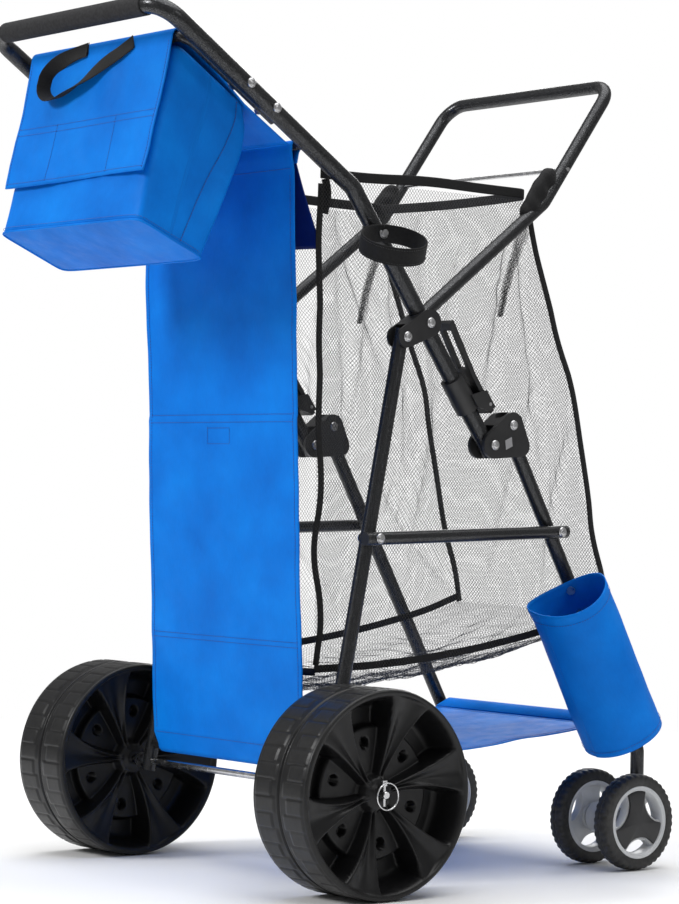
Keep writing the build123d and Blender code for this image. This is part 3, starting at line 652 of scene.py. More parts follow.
def wheel_skin(name, sign):
    """The wheel as one closed skin: a grid of rings by even steps round, each point its ring's x
    and its radius times the cosine and sine of the step. The wear is kept as an attribute."""
    turns = np.linspace(0, 2 * np.pi, WHEEL_STEPS, endpoint=False)
    rows = np.array(wheel_half(1, turns) + wheel_half(-1, turns))
    x, r, rub = rows.transpose(1, 0, 2)
    points = np.stack([sign * (WHEEL_MID_X + x), r * np.cos(turns), WHEEL_R + r * np.sin(turns)], -1)
    faces = grid_faces(len(rows), WHEEL_STEPS, wrap_rows=True, wrap_cols=True)
    piece = make_piece(name, points, faces, WHEEL_BLACK, weld=False)
    if sign < 0:
        piece.data.flip_normals()
    mark = piece.data.attributes.new("rub", "FLOAT", "POINT")
    mark.data.foreach_set("value", rub.astype(np.float32).ravel())
    return piece


for side_name, sign in (("right", 1), ("left", -1)):
    wheel = wheel_skin(f"wheel_{side_name}_skin", sign)
    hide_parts(f"wheel_tread_{side_name}", f"wheel_core_{side_name}")
    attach(wheel, f"wheel_{side_name}_body")


# ---- casters --------------------------------------------------------------------------------
CASTER_STEPS = 240
CASTER_MID_X = 216.0
CASTER_OFFSETS = (-46.5, 46.5)
LOBE_ANGLE = 95.0


def lobe_radius(turn, grow, reach):
    """Outline of a three-lobed plate: out to reach in the lobes, and between them cut back by a
    circle of radius 36 - grow centred 58 out from the axle."""
    away = np.abs((np.degrees(turn) - LOBE_ANGLE) % 120.0 - 60.0)
    alpha = np.radians(away)
    centre = 58.0
    cut = 36.0 - grow
    inside = cut ** 2 - (centre * np.sin(alpha)) ** 2
    scallop = centre * np.cos(alpha) - np.sqrt(np.maximum(inside, 0.0))
    edge = np.degrees(np.arcsin(cut / centre))
    blend = step_up(away, edge - 3.0, edge + 1.5)
    return np.minimum(scallop * (1 - blend) + reach * blend, reach)


def round_axle(x, r, turns):
    """Points at these x and radii, turned round the caster's axle."""
    return np.stack([x, CASTER_AXLE[0] + r * np.cos(turns), CASTER_AXLE[1] + r * np.sin(turns)], -1)


def closed_disc(outline, profile, turns, x0, sense):
    """Solid of rings that share the outline: profile rows are (share of the outline, x offset)."""
    profile = np.array(profile)
    r = profile[:, :1] * outline[None, :]
    return round_axle(x0 + sense * profile[:, 1:] + 0 * r, r, turns)


def turned_ring(profile, turns, x0, sense, relief=None):
    """Closed profile of (radius, x offset) turned round the caster's axle, with relief(r, x, turn)
    added to the radius where it is given."""
    profile = np.array(profile)
    r = profile[:, :1] + 0 * turns[None, :]
    x = profile[:, 1:] + 0 * turns[None, :]
    if relief is not None:
        r = r + relief(r, x, turns[None, :])
    return round_axle(x0 + sense * x, r, turns)


def tyre_relief(r, x, turn):
    """Small blocks round the tyre's shoulders and a shallow ribbed crown."""
    block = np.abs((np.degrees(turn) / 9.0) % 1.0 - 0.5)
    shoulder = np.exp(-((np.abs(x) - 10.5) / 3.0) ** 2) * (r > 60)
    crown = np.exp(-(x / 5.0) ** 2) * (r > 60)
    return -1.9 * shoulder * step_up(block, 0.24, 0.36) - 0.8 * crown * step_up(block, 0.3, 0.4)


TYRE_PROFILE = [
    (52.0, -12.6), (56.0, -13.4), (60.0, -13.5), (63.5, -13.3), (66.0, -12.4), (67.6, -10.6),
    (68.5, -8.0), (68.9, -4.0), (69.0, -1.2), (68.2, 0.0), (69.0, 1.2), (68.9, 4.0), (68.5, 8.0),
    (67.6, 10.6), (66.0, 12.4), (63.5, 13.3), (60.0, 13.5), (56.0, 13.4), (52.0, 12.6),
]
RIM_PROFILE = [
    (51.9, -12.5), (51.9, 12.5), (51.2, 13.2), (49.8, 13.2), (49.2, 12.3), (48.4, 11.9), (46.6, 12.2),
    (45.6, 11.2), (44.6, 8.5), (44.0, 0.0), (44.6, -8.5), (45.6, -11.2), (46.6, -12.2), (48.4, -12.4),
    (50.5, -13.0),
]
HUB_PROFILE = [(4.2, -10.4), (19.4, -10.4), (20.0, -9.0), (20.0, 9.0), (19.4, 9.8), (4.2, 9.8)]
PLATE_PROFILE = [
    (0.10, 7.6), (0.9, 7.6), (0.975, 8.6), (1.0, 7.4), (1.0, -5.4), (0.97, -6.4), (0.9, -6.4), (0.10, -6.4),
]
COVER_PROFILE = [
    (0.0, 8.0), (0.955, 8.0), (1.0, 8.4), (1.0, 10.2), (0.97, 11.0), (0.9, 11.4), (0.5, 12.3), (0.2, 12.6),
    (0.0, 12.7),
]


def caster_grids(sign):
    """Tyres, rims and covers of one caster's two wheels, as lists of (grid, rows wrap round)."""
    turns = np.linspace(0, 2 * np.pi, CASTER_STEPS, endpoint=False)
    plate = lobe_radius(turns, 3.2, 47.5)
    cover = lobe_radius(turns, 0.0, 45.0)
    tyres, rims, covers = [], [], []
    for offset in CASTER_OFFSETS:
        x0 = sign * (CASTER_MID_X + offset)
        sense = sign * np.sign(offset)
        tyres.append((turned_ring(TYRE_PROFILE, turns, x0, sense, tyre_relief), True))
        rims.append((turned_ring(RIM_PROFILE, turns, x0, sense), True))
        rims.append((turned_ring(HUB_PROFILE, turns, x0, sense), True))
        rims.append((closed_disc(plate, PLATE_PROFILE, turns, x0, sense), True))
        covers.append((closed_disc(cover, COVER_PROFILE, turns, x0, sense), False))
    return tyres, rims, covers


def caster_wheels(side_name, sign):
    """Rubber tyres, pale spoked rims and dark three-lobed covers of one caster."""
    tyres, rims, covers = caster_grids(sign)
    made = []
    for kind, parts, finish, slot in (
        ("tyre_lugs", tyres, RUBBER, "caster_tyre"),
        ("spoke_rims", rims, GREY, "grey_plastic"),
        ("lobed_caps", covers, COVER_PLASTIC, "black_plastic"),
    ):
        points, faces = join_grids(parts)
        piece = make_piece(f"caster_{side_name}_{kind}", points, faces, finish)
        made.append(piece)
    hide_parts(f"caster_tyres_{side_name}")
    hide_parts(f"caster_rims_{side_name}")
    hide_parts(f"caster_covers_{side_name}")
    for piece in made:
        flat_edges(piece, 35)
        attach(piece, f"caster_wheels_{side_name}")


for side_name, sign in (("right", 1), ("left", -1)):
    caster_wheels(side_name, sign)


# ---- screws ---------------------------------------------------------------------------------
def screw_head(centre, x, sense, r, high):
    """Pan head with a cross slot: a dome over a polar grid, sunk where it is within the slot's
    arms, closed underneath by its first ring drawn to the middle."""
    turns = np.linspace(0, 2 * np.pi, 72, endpoint=False)
    share = np.array((0.0, 0.08, 0.16, 0.24, 0.34, 0.44, 0.54, 0.62, 0.74, 0.86, 0.95, 1.0, 1.0, 0.0))
    rise = np.concatenate([high * np.sqrt(1 - (share[:12] * 0.93) ** 2), [0.0, 0.0]])
    rr = share[:, None] * r + 0 * turns[None, :]
    a, b = rr * np.cos(turns), rr * np.sin(turns)
    slot = np.minimum(np.abs(a), np.abs(b))
    sunk = (1 - step_up(slot, r * 0.09, r * 0.17)) * (1 - step_up(rr, r * 0.52, r * 0.62))
    depth = rise[:, None] - sunk * high * 0.7 * (np.arange(14)[:, None] < 12)
    return np.stack([x + sense * depth, centre[0] + a, centre[1] + b], -1)


def screws(name, places, body):
    """Heads on both sides of the cart. Each place is (point, x of the seat, radius, height)."""
    parts = []
    for point, x, r, high in places:
        for sign in (1, -1):
            parts.append((screw_head(np.asarray(point), sign * x, sign, r, high), False))
    points, faces = join_grids(parts)
    piece = make_piece(name, points, faces, ZINC)
    flat_edges(piece, 40)
    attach(piece, body)


def on_main(y):
    """Point of the main tube's upper run at this y."""
    way = (BEND - HANDLE) / np.linalg.norm(BEND - HANDLE)
    return HANDLE + way * (y - HANDLE[0]) / way[0]


BRACKET_FACE_X = LEG_X + 10 + 4 + 2.6
LATCH_FACE_X = MAIN_X + 18.9 + 2.4
CLAMP_FACE_X = MAIN_X + 18.5 + 2.4
BRACE_FACE_X = 236.5 + 2.4
CLAMP = LEG_TOP + LEG_SLOPE * 13
screws("frame_screw_heads", [
    (LEG_PIVOT, BRACKET_FACE_X - 0.2, 4.8, 1.7), (BAIL_PIVOT, BRACKET_FACE_X - 0.2, 4.8, 1.7),
    (LATCH_PIVOT, LATCH_FACE_X, 4.8, 1.7),
    (on_main(-151.0), MAIN_X + MAIN_R + 3.0, 4.6, 1.6), (on_main(-108.0), MAIN_X + MAIN_R + 3.0, 4.6, 1.6),
], "upper_frame")
screws("latch_screw_heads", [(CLAMP, CLAMP_FACE_X, 4.8, 1.7)], "lower_frame")
screws("brace_screw_heads", [
    (BRACE_REAR, BRACE_FACE_X, 4.8, 1.7), (BRACE_FRONT, BRACE_FACE_X, 4.8, 1.7),
], "braces")


def latch_label():
    """Plain diamond label on each latch body."""
    centre = np.array((304.0, 608.0))
    corner = np.array([(0, 10.5), (8.0, 0), (0, -10.5), (-8.0, 0)])
    tilt = math.radians(-29)
    corner = corner @ np.array([[math.cos(tilt), math.sin(tilt)], [-math.sin(tilt), math.cos(tilt)]])
    parts = []
    for sign in (1, -1):
        rows = []
        for share, x in ((0.0, 223.6), (1.0, 223.6), (1.0, 223.9), (0.94, 224.0), (0.0, 224.0)):
            ring = centre + corner * share
            rows.append(np.column_stack([np.full(4, sign * x), ring]))
        parts.append((np.array(rows), False))
    points, faces = join_grids(parts)
    piece = make_piece("latch_labels", points, faces, LABEL, smooth=False)
    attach(piece, "lower_frame")


latch_label()


# ---- back panel -----------------------------------------------------------------------------
PANEL_TOP_TURN = (-52.6, 992.0)
PANEL_TOP = (-48.3, 970.0)
PANEL_LOW = (-13.4, 186.0)
LINING_HALF = 163.0


def panel_path():
    """Side view of the panel's cloth: a lap inside, a hem round the top bar, a straight drop and a
    hem round the bottom bar. Also the row at which the drop starts."""
    front = np.array([(-43.6, 978.0), (-41.0, 992.0)])
    over = arc(on_main(-45.0), 7.6, -30, 190, 16)
    drop = even(np.array([PANEL_TOP_TURN, PANEL_TOP, PANEL_LOW]), 8.0)
    under = arc(BOTTOM_BAR, 10.2, 178, 395, 16)
    tail = np.array([(14.0, 178.0)])
    return np.concatenate([front, over, drop, under, tail]), len(front) + len(over)


def panel_grid(path, hem, x):
    """The panel's surface: the path at every x, plus ripples less a shallow cosine hollow where
    it hangs free, less a step below the pocket's edge and a crease at its lower seam."""
    y = path[:, 0][:, None] + 0 * x
    z = path[:, 1][:, None] + 0 * x
    free = step_up(z, 190, 300) * (1 - step_up(z, 900, 975))
    free[:hem] = 0
    swell = 1.6 * ripple(x[None, :], z, 5, 240.0) - 2.2 * np.cos(x[None, :] / PANEL_HALF * np.pi / 2)
    y = y + free * swell
    y = y - 1.5 * (1 - step_up(z, 634.0, 637.0)) * step_up(z, 200.0, 240.0)
    y = y - 0.9 * np.exp(-((z - 333.0) / 3.0) ** 2)
    wide = x[None, :] * (1 - 0.012 * free * np.cos((z - 580) / 400 * np.pi / 2)) + 0 * z
    return np.stack([wide, y, z], -1)


def panel_runs(grid, hem, x):
    """Stitching on the panel: across at its hems and pocket, down both edges, and a small square
    at the pocket's edge, each a little behind the cloth."""
    back = np.array((0.0, -1.0, -0.045))
    z = grid[:, 0, 2]
    within = np.abs(x) < PANEL_HALF - 4.0
    runs = []
    for height in (971.0, 640.5, 630.0, 331.0, 324.0, 186.5):
        row = int(np.argmin(np.abs(z[hem:] - height))) + hem
        share = (height - z[row]) / (z[row + 1] - z[row])
        line = grid[row] * (1 - share) + grid[row + 1] * share
        runs.append((line[within] + np.array((0, -1.2, 0)), back))
    drop = (z > 190) & (z < 968) & (np.arange(len(z)) >= hem)
    for column in (2, 88):
        runs.append((grid[drop, column] + np.array((0, -1.1, 0)), back))
    square = np.array([(-26, 622), (26, 622), (26, 600), (-26, 600), (-26, 622)], float)
    share = (square[:, 1] - PANEL_LOW[1]) / (PANEL_TOP[1] - PANEL_LOW[1])
    lie = PANEL_LOW[0] + (PANEL_TOP[0] - PANEL_LOW[0]) * share - 5.2
    runs.append((np.column_stack([square[:, 0], lie, square[:, 1]]), back))
    return runs


def back_panel():
    """One long sheet from the top bar to the bottom bar, with its seams."""
    path, hem = panel_path()
    x = np.linspace(-PANEL_HALF, PANEL_HALF, 91)
    grid = panel_grid(path, hem, x)
    panel = cloth("back_panel", grid, BLUE, 1.5)
    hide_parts("panel_upper", "panel_lower")
    seams = stitches("panel_stitches", panel_runs(grid, hem, x), BLUE_THREAD)
    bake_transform(panel)
    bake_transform(seams)


back_panel()


def lining_flap():
    """Short flap inside the cart, hanging from the top bar's hem, coloured with a darker navy copy of the
    blue cloth as painted shade: its depth grows two sine waves across, in y and in z, with the share of the
    drop."""
    path = even(rounded([(-37.2, 991.0), (-20.0, 940.0), (11.0, 866.0)], 2), 6.0)
    x = np.linspace(-LINING_HALF, LINING_HALF, 81)
    down = lengths(path)[:, None] / lengths(path)[-1]
    y = path[:, 0][:, None] + 2.4 * down * np.sin(x[None, :] / 26.0 + 0.6)
    z = path[:, 1][:, None] + 2.0 * down * np.sin(x[None, :] / 60.0)
    grid = np.stack([x[None, :] + 0 * y, y, z], -1)
    flap = cloth("lining_flap", grid, BLUE_IN_PAINTED_SHADE, 1.2)
    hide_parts("inner_flap")
    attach(flap, "upper_frame")


lining_flap()


# ---- tote bag -------------------------------------------------------------------------------
TOTE_LEVELS = np.linspace(0, 1, 44)
TOTE_STEPS = 160
TOTE_SQUARE = 0.14


def tote_turns():
    """Turns at equal distances round the bag, with the share across and the share in depth at
    each: the cosine and sine raised to a low power, which makes a rectangle with soft corners."""
    fine = np.linspace(0, 2 * np.pi, 40001)
    across = np.sign(np.cos(fine)) * np.abs(np.cos(fine)) ** TOTE_SQUARE
    deep = np.sign(np.sin(fine)) * np.abs(np.sin(fine)) ** TOTE_SQUARE
    run = lengths(np.stack([across, deep], -1) * np.array((TOTE_HALF, 60.0)))
    at = np.linspace(0, run[-1], TOTE_STEPS, endpoint=False)
    return np.interp(at, run, fine), np.interp(at, run, across), np.interp(at, run, deep)


def tote_walls(sx, sy):
    """Outside of the bag from its mouth down, a ring a level: x is the share across times a span
    that pulls in at the flanks, and y and z lie between the level's rear and front points by the
    share in depth, with a belly and ripples that fade at both ends."""
    levels = TOTE_LEVELS
    rear = np.stack([-239.0 - 56.0 * levels ** 1.05, 1121.0 - 234.0 * levels], -1)
    front = even(rounded([(-123.0, 1044.0), (-113.5, 1004.0), (-144.0, 930.0), (-188.0, 840.0)], 2), 1.0)
    front = front[np.round(levels * (len(front) - 1)).astype(int)]
    middle = (rear + front) / 2
    reach = (front - rear) / 2
    belly = np.sin(np.pi * levels)[:, None]
    edge = (1 - np.abs(sx) ** 3)[None, :] * belly
    flank = (1 - np.abs(sy) ** 3)[None, :] * belly
    span = TOTE_HALF - 1.0 - 7.0 * flank * (1 + 0.5 * np.sin(3.1 * levels)[:, None])
    x = sx[None, :] * span
    depth = sy[None, :] * (1 + 0.03 * edge)
    y = middle[:, 0][:, None] + reach[:, 0][:, None] * depth
    z = middle[:, 1][:, None] + reach[:, 1][:, None] * depth
    z = z + 1.6 * ripple(x, z, 3, 90.0) * belly
    y = y + 1.4 * ripple(x, z, 9, 120.0) * belly
    return np.stack([x, y, z], -1)


def tote_skin(walls):
    """The walls, then a floor of rings that shrink to the middle and sag, and inside them the
    same rings again, a cloth's thickness in. Also the UV, in real distances round and down."""
    centre = walls[-1].mean(0)
    shares = np.array((0.985, 0.95, 0.86, 0.72, 0.52, 0.3, 0.12, 0.0))
    floor = centre + (walls[-1] - centre) * shares[:, None, None]
    floor[..., 2] -= (5.0 * (1 - shares ** 3))[:, None]
    outside = np.concatenate([walls, floor])
    inner = centre + (outside - centre) * np.array((0.978, 0.94, 0.985))
    inner[..., 2] += 3.2 * np.linspace(0, 1, len(inner))[:, None]
    skin = np.concatenate([inner[::-1], outside])
    down = np.arange(len(skin))[:, None] * 6.4 + np.zeros(TOTE_STEPS)
    around = lengths(np.concatenate([walls[20], walls[20][:1]]))[:-1]
    uv = np.stack([np.broadcast_to(around, down.shape), down], -1)
    uv[-len(floor):] = skin[-len(floor):, :, :2]
    return skin, uv


def tote_runs(walls, angle, sy, loop, outward):
    """Stitching on the bag: a double line down each flank, slanting forward from mouth to floor,
    and one line round its lower edge."""
    flank = np.where(np.cos(angle) > 0.02)[0]
    flank = flank[np.argsort(sy[flank])]
    line = []
    for level, row in zip(TOTE_LEVELS, walls):
        at = 0.69 - 0.47 * level
        line.append([np.interp(at, sy[flank], row[flank, k]) for k in range(3)])
    line = np.array(line)[1:-1]
    runs = []
    for sign in (1, -1):
        side_line = even(line * np.array((sign, 1, 1)) + np.array((sign * 0.9, 0, 0)), 4.0)
        for step in (0.0, 0.7):
            runs.append((side_line + np.array((0, step, 0)), (sign, 0, 0)))
    lower = loop + outward * 0.5 + np.array((0, 0, 6.0))
    runs.append((lower[:-1], (0.3, -0.9, 0.1)))
    return runs


def tote_bag():
    """Bag lofted from its mouth to its floor, with piping round its lower edge and its seams."""
    angle, sx, sy = tote_turns()
    walls = tote_walls(sx, sy)
    skin, uv = tote_skin(walls)
    bag = make_piece("tote_bag", skin, grid_faces(len(skin), TOTE_STEPS, wrap_cols=True), BLUE, uv)
    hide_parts("tote_body")
    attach(bag, "upper_frame")
    loop = np.concatenate([walls[-1], walls[-1][:1]])
    outward = loop - walls[-1].mean(0)
    outward[:, 2] = 0
    outward /= np.linalg.norm(outward, axis=1, keepdims=True)
    edge = even(loop + outward * 0.6, 5.0)
    piping = strap("tote_piping", edge, (0.0, 0.0, 1.0), 3.4, 3.0, BLUE, power=0.9, sides=8)
    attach(piping, "upper_frame")
    seams = stitches("tote_stitches", tote_runs(walls, angle, sy, loop, outward), BLUE_THREAD)
    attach(seams, "upper_frame")


tote_bag()
HANGER_BAR = on_main(-236.0)
LID_BACK = np.array((0.0, -0.97, 0.24))


def flap_path():
    """Side view of the lid: up from the panel's top bar, round the hanger's cross run and down
    behind the bag. Also the row at which the drop starts."""
    over = arc(HANGER_BAR, 10.2, 52, 172, 18)
    start = even(np.array([(-55.0, 1003.5), (-128.0, 1050.5), over[0]]), 8.0)[:-1]
    drop = even(rounded([over[-1], (-252.0, 1094.0), (-262.0, 1046.0), (-285.5, 949.0)], 3), 5.0)[1:]
    return np.concatenate([start, over, drop]), len(start) + len(over)


def flap_grid(x):
    """Lid surface at these x, and the share of the drop at each row: the path, with a sine wave
    and ripples that grow with the drop, and one soft dent."""
    path, hang = flap_path()
    run = lengths(path)
    down = np.clip((run - run[hang]) / (run[-1] - run[hang]), 0, 1)[:, None]
    wave = 3.2 * down ** 1.6 * np.sin(x[None, :] / 47.0 + 0.9)
    wave = wave + 1.6 * down * ripple(x[None, :], path[:, 1][:, None], 14, 90.0)
    dent = -3.0 * np.exp(-((x[None, :] - 40.0) / 22.0) ** 2) * np.exp(-((down - 0.25) / 0.2) ** 2)
    y = path[:, 0][:, None] + (wave + dent) * step_up(down, 0.02, 0.2)
    z = path[:, 1][:, None] + 1.8 * down * np.sin(x[None, :] / 70.0)
    return np.stack([x[None, :] + 0 * y, y, z], -1), down[:, 0]


def flap_point(x, share):
    """Points on the lid at these x and shares of its drop, or up over the bar below 0, between
    the two rows nearest each."""
    grid, down = flap_grid(np.asarray(x, float))
    path, hang = flap_path()
    run = lengths(path)
    rows = np.interp(share, (run - run[hang]) / (run[-1] - run[hang]), np.arange(len(run)))
    low = np.floor(rows).astype(int)
    high = np.minimum(low + 1, len(down) - 1)
    part = (rows - low)[:, None]
    pick = np.arange(len(x))
    return grid[low, pick] * (1 - part) + grid[high, pick] * part


def lid_runs():
    """Stitching on the lid: three lines across, two down between them and one down each edge."""
    runs = []
    wide = np.linspace(-TOTE_HALF + 4, TOTE_HALF - 4, 60)
    for share in (0.535, 0.585, 0.965):
        runs.append((flap_point(wide, np.full(60, share)) + LID_BACK, LID_BACK))
    tall = np.linspace(0.54, 0.965, 40)
    for at in (-69.0, 72.0):
        runs.append((flap_point(np.full(40, at), tall) + LID_BACK, LID_BACK))
    side = np.linspace(0.02, 0.97, 60)
    for at in (-TOTE_HALF + 5, TOTE_HALF - 5):
        runs.append((flap_point(np.full(60, at), side) + LID_BACK, LID_BACK))
    return runs


def tote_lid():
    """Lid of the bag, one sheet from the panel's top bar over the hanger and down behind."""
    grid, _ = flap_grid(np.linspace(-TOTE_HALF, TOTE_HALF, 101))
    lid = cloth("tote_lid", grid, BLUE, 1.6)
    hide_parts("tote_flap")
    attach(lid, "upper_frame")
    seams = stitches("lid_stitches", lid_runs(), BLUE_THREAD)
    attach(seams, "upper_frame")


tote_lid()


def carry_loop():
    """Webbing handle sewn to the lid at both ends: it lies over to one side and half turns on
    edge where it bows away from the cloth."""
    corners = [(-26, -0.025), (-56, 0.0), (-94, 0.06), (-116, 0.16), (-112, 0.29), (-84, 0.36),
               (-38, 0.28), (24, 0.13), (66, 0.03), (84, -0.025)]
    line = even(rounded(corners, 3), 0.8)
    line = line[:: max(1, len(line) // 90)]
    base = flap_point(line[:, 0], line[:, 1])
    share = np.linspace(0, 1, len(line))
    bow = np.sin(np.pi * share)
    path = base + LID_BACK * (1.9 + 7.5 * bow[:, None])
    flat = np.array((0.0, -0.24, -0.97))
    turn = step_up(share, 0.05, 0.3) * (1 - step_up(share, 0.5, 0.85))
    run = tangents(path)
    lying = np.cross(run, LID_BACK)
    across = lying * (1 - 0.62 * turn[:, None]) + LID_BACK * 0.62 * turn[:, None]
    across = np.where(np.abs(share[:, None] - 0.5) > 0.499, flat, across)
    loop = strap("tote_carry_loop", path, across, 21.0, 1.6, WEBBING, power=0.3)
    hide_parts("tote_handle")
    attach(loop, "upper_frame")


carry_loop()


# ---- net bag --------------------------------------------------------------------------------
NET_FRONT = [(378, 958), (392, 901), (423, 814), (458, 733), (482, 657), (512, 510), (552, 368)]
NET_FLOOR = [(552, 368), (485, 345), (385, 323), (290, 307), (192, 295), (100, 288), (8, 286)]
FOLDS = [
    ((372, 950), (300, 600), 9.0, 14.0), ((378, 930), (425, 520), 8.0, 11.0),
    ((30, 950), (150, 640), 9.0, 13.0), ((40, 940), (70, 480), 8.0, 10.0),
    ((190, 965), (240, 500), 11.0, 9.0), ((120, 560), (330, 320), 10.0, 11.0),
    ((430, 720), (300, 360), 11.0, 10.0), ((270, 900), (180, 420), 7.0, 8.0),
    ((480, 640), (420, 360), 8.0, 9.0),
]
FRONT_FOLDS = [
    ((0, -150), (420, -60), 14, 6.0), ((0, 150), (380, 70), 15, 6.0), ((30, 20), (500, 10), 22, 4),
]


def fold_depth(a, b, folds):
    """Sum of soft ridges, one along each fold line, fading at the line's ends."""
    made = np.zeros(np.broadcast(a, b).shape)
    for (a0, b0), (a1, b1), width, high in folds:
        way = np.array((a1 - a0, b1 - b0), float)
        size = np.linalg.norm(way)
        way /= size
        far = (a - a0) * way[0] + (b - b0) * way[1]
        off = -(a - a0) * way[1] + (b - b0) * way[0] + 5.0 * np.sin(far / 60.0)
        fade = step_up(far, -10, 40) * (1 - step_up(far, size * 0.6, size))
        made = made + high * fade * np.exp(-(off / width) ** 2)
    return made


def threads(starts, ends, count):
    """Straight threads between two sets of points, as count points each."""
    share = np.linspace(0, 1, count)[None, :, None]
    return starts[:, None] * (1 - share) + ends[:, None] * share


def thread_tubes(lines, thick):
    """Three-sided tube round each line of points."""
    run = np.gradient(lines, axis=1)
    run /= np.maximum(np.linalg.norm(run, axis=-1, keepdims=True), 1e-9)
    side = np.cross(run, np.array((0.31, 0.53, 0.79)))
    side /= np.maximum(np.linalg.norm(side, axis=-1, keepdims=True), 1e-9)
    other = np.cross(run, side)
    angle = np.array((0.5, 2.6, 4.7))
    ring = side[..., None, :] * np.cos(angle)[:, None] + other[..., None, :] * np.sin(angle)[:, None]
    points = lines[..., None, :] + ring * thick / 2
    count, steps = lines.shape[:2]
    faces = grid_faces(steps, 3, wrap_cols=True)
    faces = (faces[None] + (np.arange(count) * steps * 3)[:, None, None]).reshape(-1, 4)
    return points.reshape(-1, 3), faces


def crossing_spans(outline, tilt, spacing):
    """For lines at this tilt and spacing over a closed outline, where each enters and leaves it."""
    turn = np.array([[math.cos(tilt), math.sin(tilt)], [-math.sin(tilt), math.cos(tilt)]])
    there = np.asarray(outline, float) @ turn.T
    level = np.arange(there[:, 1].min() + spacing / 2, there[:, 1].max(), spacing)
    a, b = there, np.roll(there, -1, axis=0)
    rise = b[:, 1] - a[:, 1]
    rise = np.where(np.abs(rise) < 1e-9, 1e-9, rise)
    share = (level[:, None] - a[None, :, 1]) / rise[None, :]
    hit = (share >= 0) & (share <= 1)
    along = a[None, :, 0] + share * (b[:, 0] - a[:, 0])[None, :]
    low = np.where(hit, along, np.inf).min(1)
    high = np.where(hit, along, -np.inf).max(1)
    good = high - low > 4.0
    starts = np.column_stack([low, level])[good] @ turn
    ends = np.column_stack([high, level])[good] @ turn
    return starts, ends


NET_SPACING = 4.0
NET_THICK = 0.52
NET_TILTS = (math.radians(52), math.radians(-52))


def net_piece(name, outline, place):
    """Diamond netting over a flat outline: two sets of straight threads at opposite tilts, each
    thread then carried to its place."""
    points, faces, start = [], [], 0
    for tilt in NET_TILTS:
        a, b = crossing_spans(outline, tilt, NET_SPACING)
        made, quads = thread_tubes(place(threads(a, b, 30)), NET_THICK)
        points.append(made)
        faces.append(quads + start)
        start += len(made)
    piece = make_piece(name, np.concatenate(points), np.concatenate(faces), NET, weld=False)
    hang(piece)
    return piece


def hang(piece):
    """Bakes the piece's placement into its mesh, where it stays."""
    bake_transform(piece)


def net_front_line():
    """Side view of the net's front edge, from the mouth down."""
    return rounded(np.array(NET_FRONT, float), 2)


def net_floor_line():
    """Side view of the net's floor, from the front back."""
    return rounded(np.array(NET_FLOOR, float), 2)


def wall_place(sign, seed):
    """Carries a flat side wall to its place: its x pulls in where the net is slack, by ripples
    and by the folds."""
    def place(flat):
        y, z = flat[..., 0], flat[..., 1]
        slack = step_up(z, 300, 420) * (1 - step_up(z, 900, 955)) * step_up(y, 10, 70)
        x = NET_HALF - slack * (5.0 + 4.0 * ripple(y, z, seed, 150.0)) - fold_depth(y, z, FOLDS) * slack
        return np.stack([sign * x, y, z], -1)
    return place


def net_walls():
    """Both side walls of the net, and the cut area of one."""
    outline = np.concatenate([net_front_line(), net_floor_line()[1:], [(4, 620), (4, 962)]])
    made = []
    for side_name, sign, seed in (("right", 1, 21), ("left", -1, 22)):
        made.append(net_piece(f"net_wall_{side_name}", outline, wall_place(sign, seed)))
    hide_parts("net_sides")
    return made, polygon_area(outline) * MM * MM


def polygon_area(outline):
    """Half the sum of each point's y times the next one's z less its z times the next one's y."""
    y, z = np.asarray(outline, float).T
    return 0.5 * abs(np.dot(y, np.roll(z, -1)) - np.dot(z, np.roll(y, -1)))


def net_strip_path():
    """Side view of the strip that is the net's front and floor."""
    return np.concatenate([net_front_line(), net_floor_line()[1:]])


def strip_place(flat):
    """Carries the flat strip to the net's front and floor: distance along the path gives y and z,
    the front swells and folds towards the middle, and the floor sags."""
    path = net_strip_path()
    run = lengths(path)
    s, x = flat[..., 0], flat[..., 1]
    y = np.interp(s, run, path[:, 0])
    z = np.interp(s, run, path[:, 1])
    free = np.cos(x / NET_HALF * np.pi / 2) ** 0.7
    front = 1 - step_up(s, 560.0, 660.0)
    swell = free * (4.0 + 4.0 * ripple(s, x, 31, 150.0))
    folds = fold_depth(s, x, FRONT_FOLDS)
    y = y + front * (swell * 0.6 + folds * free * 0.8 - 2.0)
    sag = (1 - np.abs(x / NET_HALF) ** 3) * step_up(s, 600.0, 760.0) * (1 - step_up(s, 1120.0, 1230.0))
    z = z - sag * (30.0 + 7.0 * ripple(s, x, 33, 80.0))
    return np.stack([x, y, z], -1)


def net_front_and_floor():
    """The net's front and floor in one strip, with its cut area and flat size."""
    total = lengths(net_strip_path())[-1]
    w = NET_HALF - 0.6
    outline = [(0, -w), (total, -w), (total, w), (0, w)]
    piece = net_piece("net_front_and_floor", outline, strip_place)
    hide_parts("net_front_floor")
    return piece, total * 2 * w * MM * MM, (2 * w * MM, total * MM)


walls, wall_area = net_walls()
front_net, front_area, front_flat = net_front_and_floor()


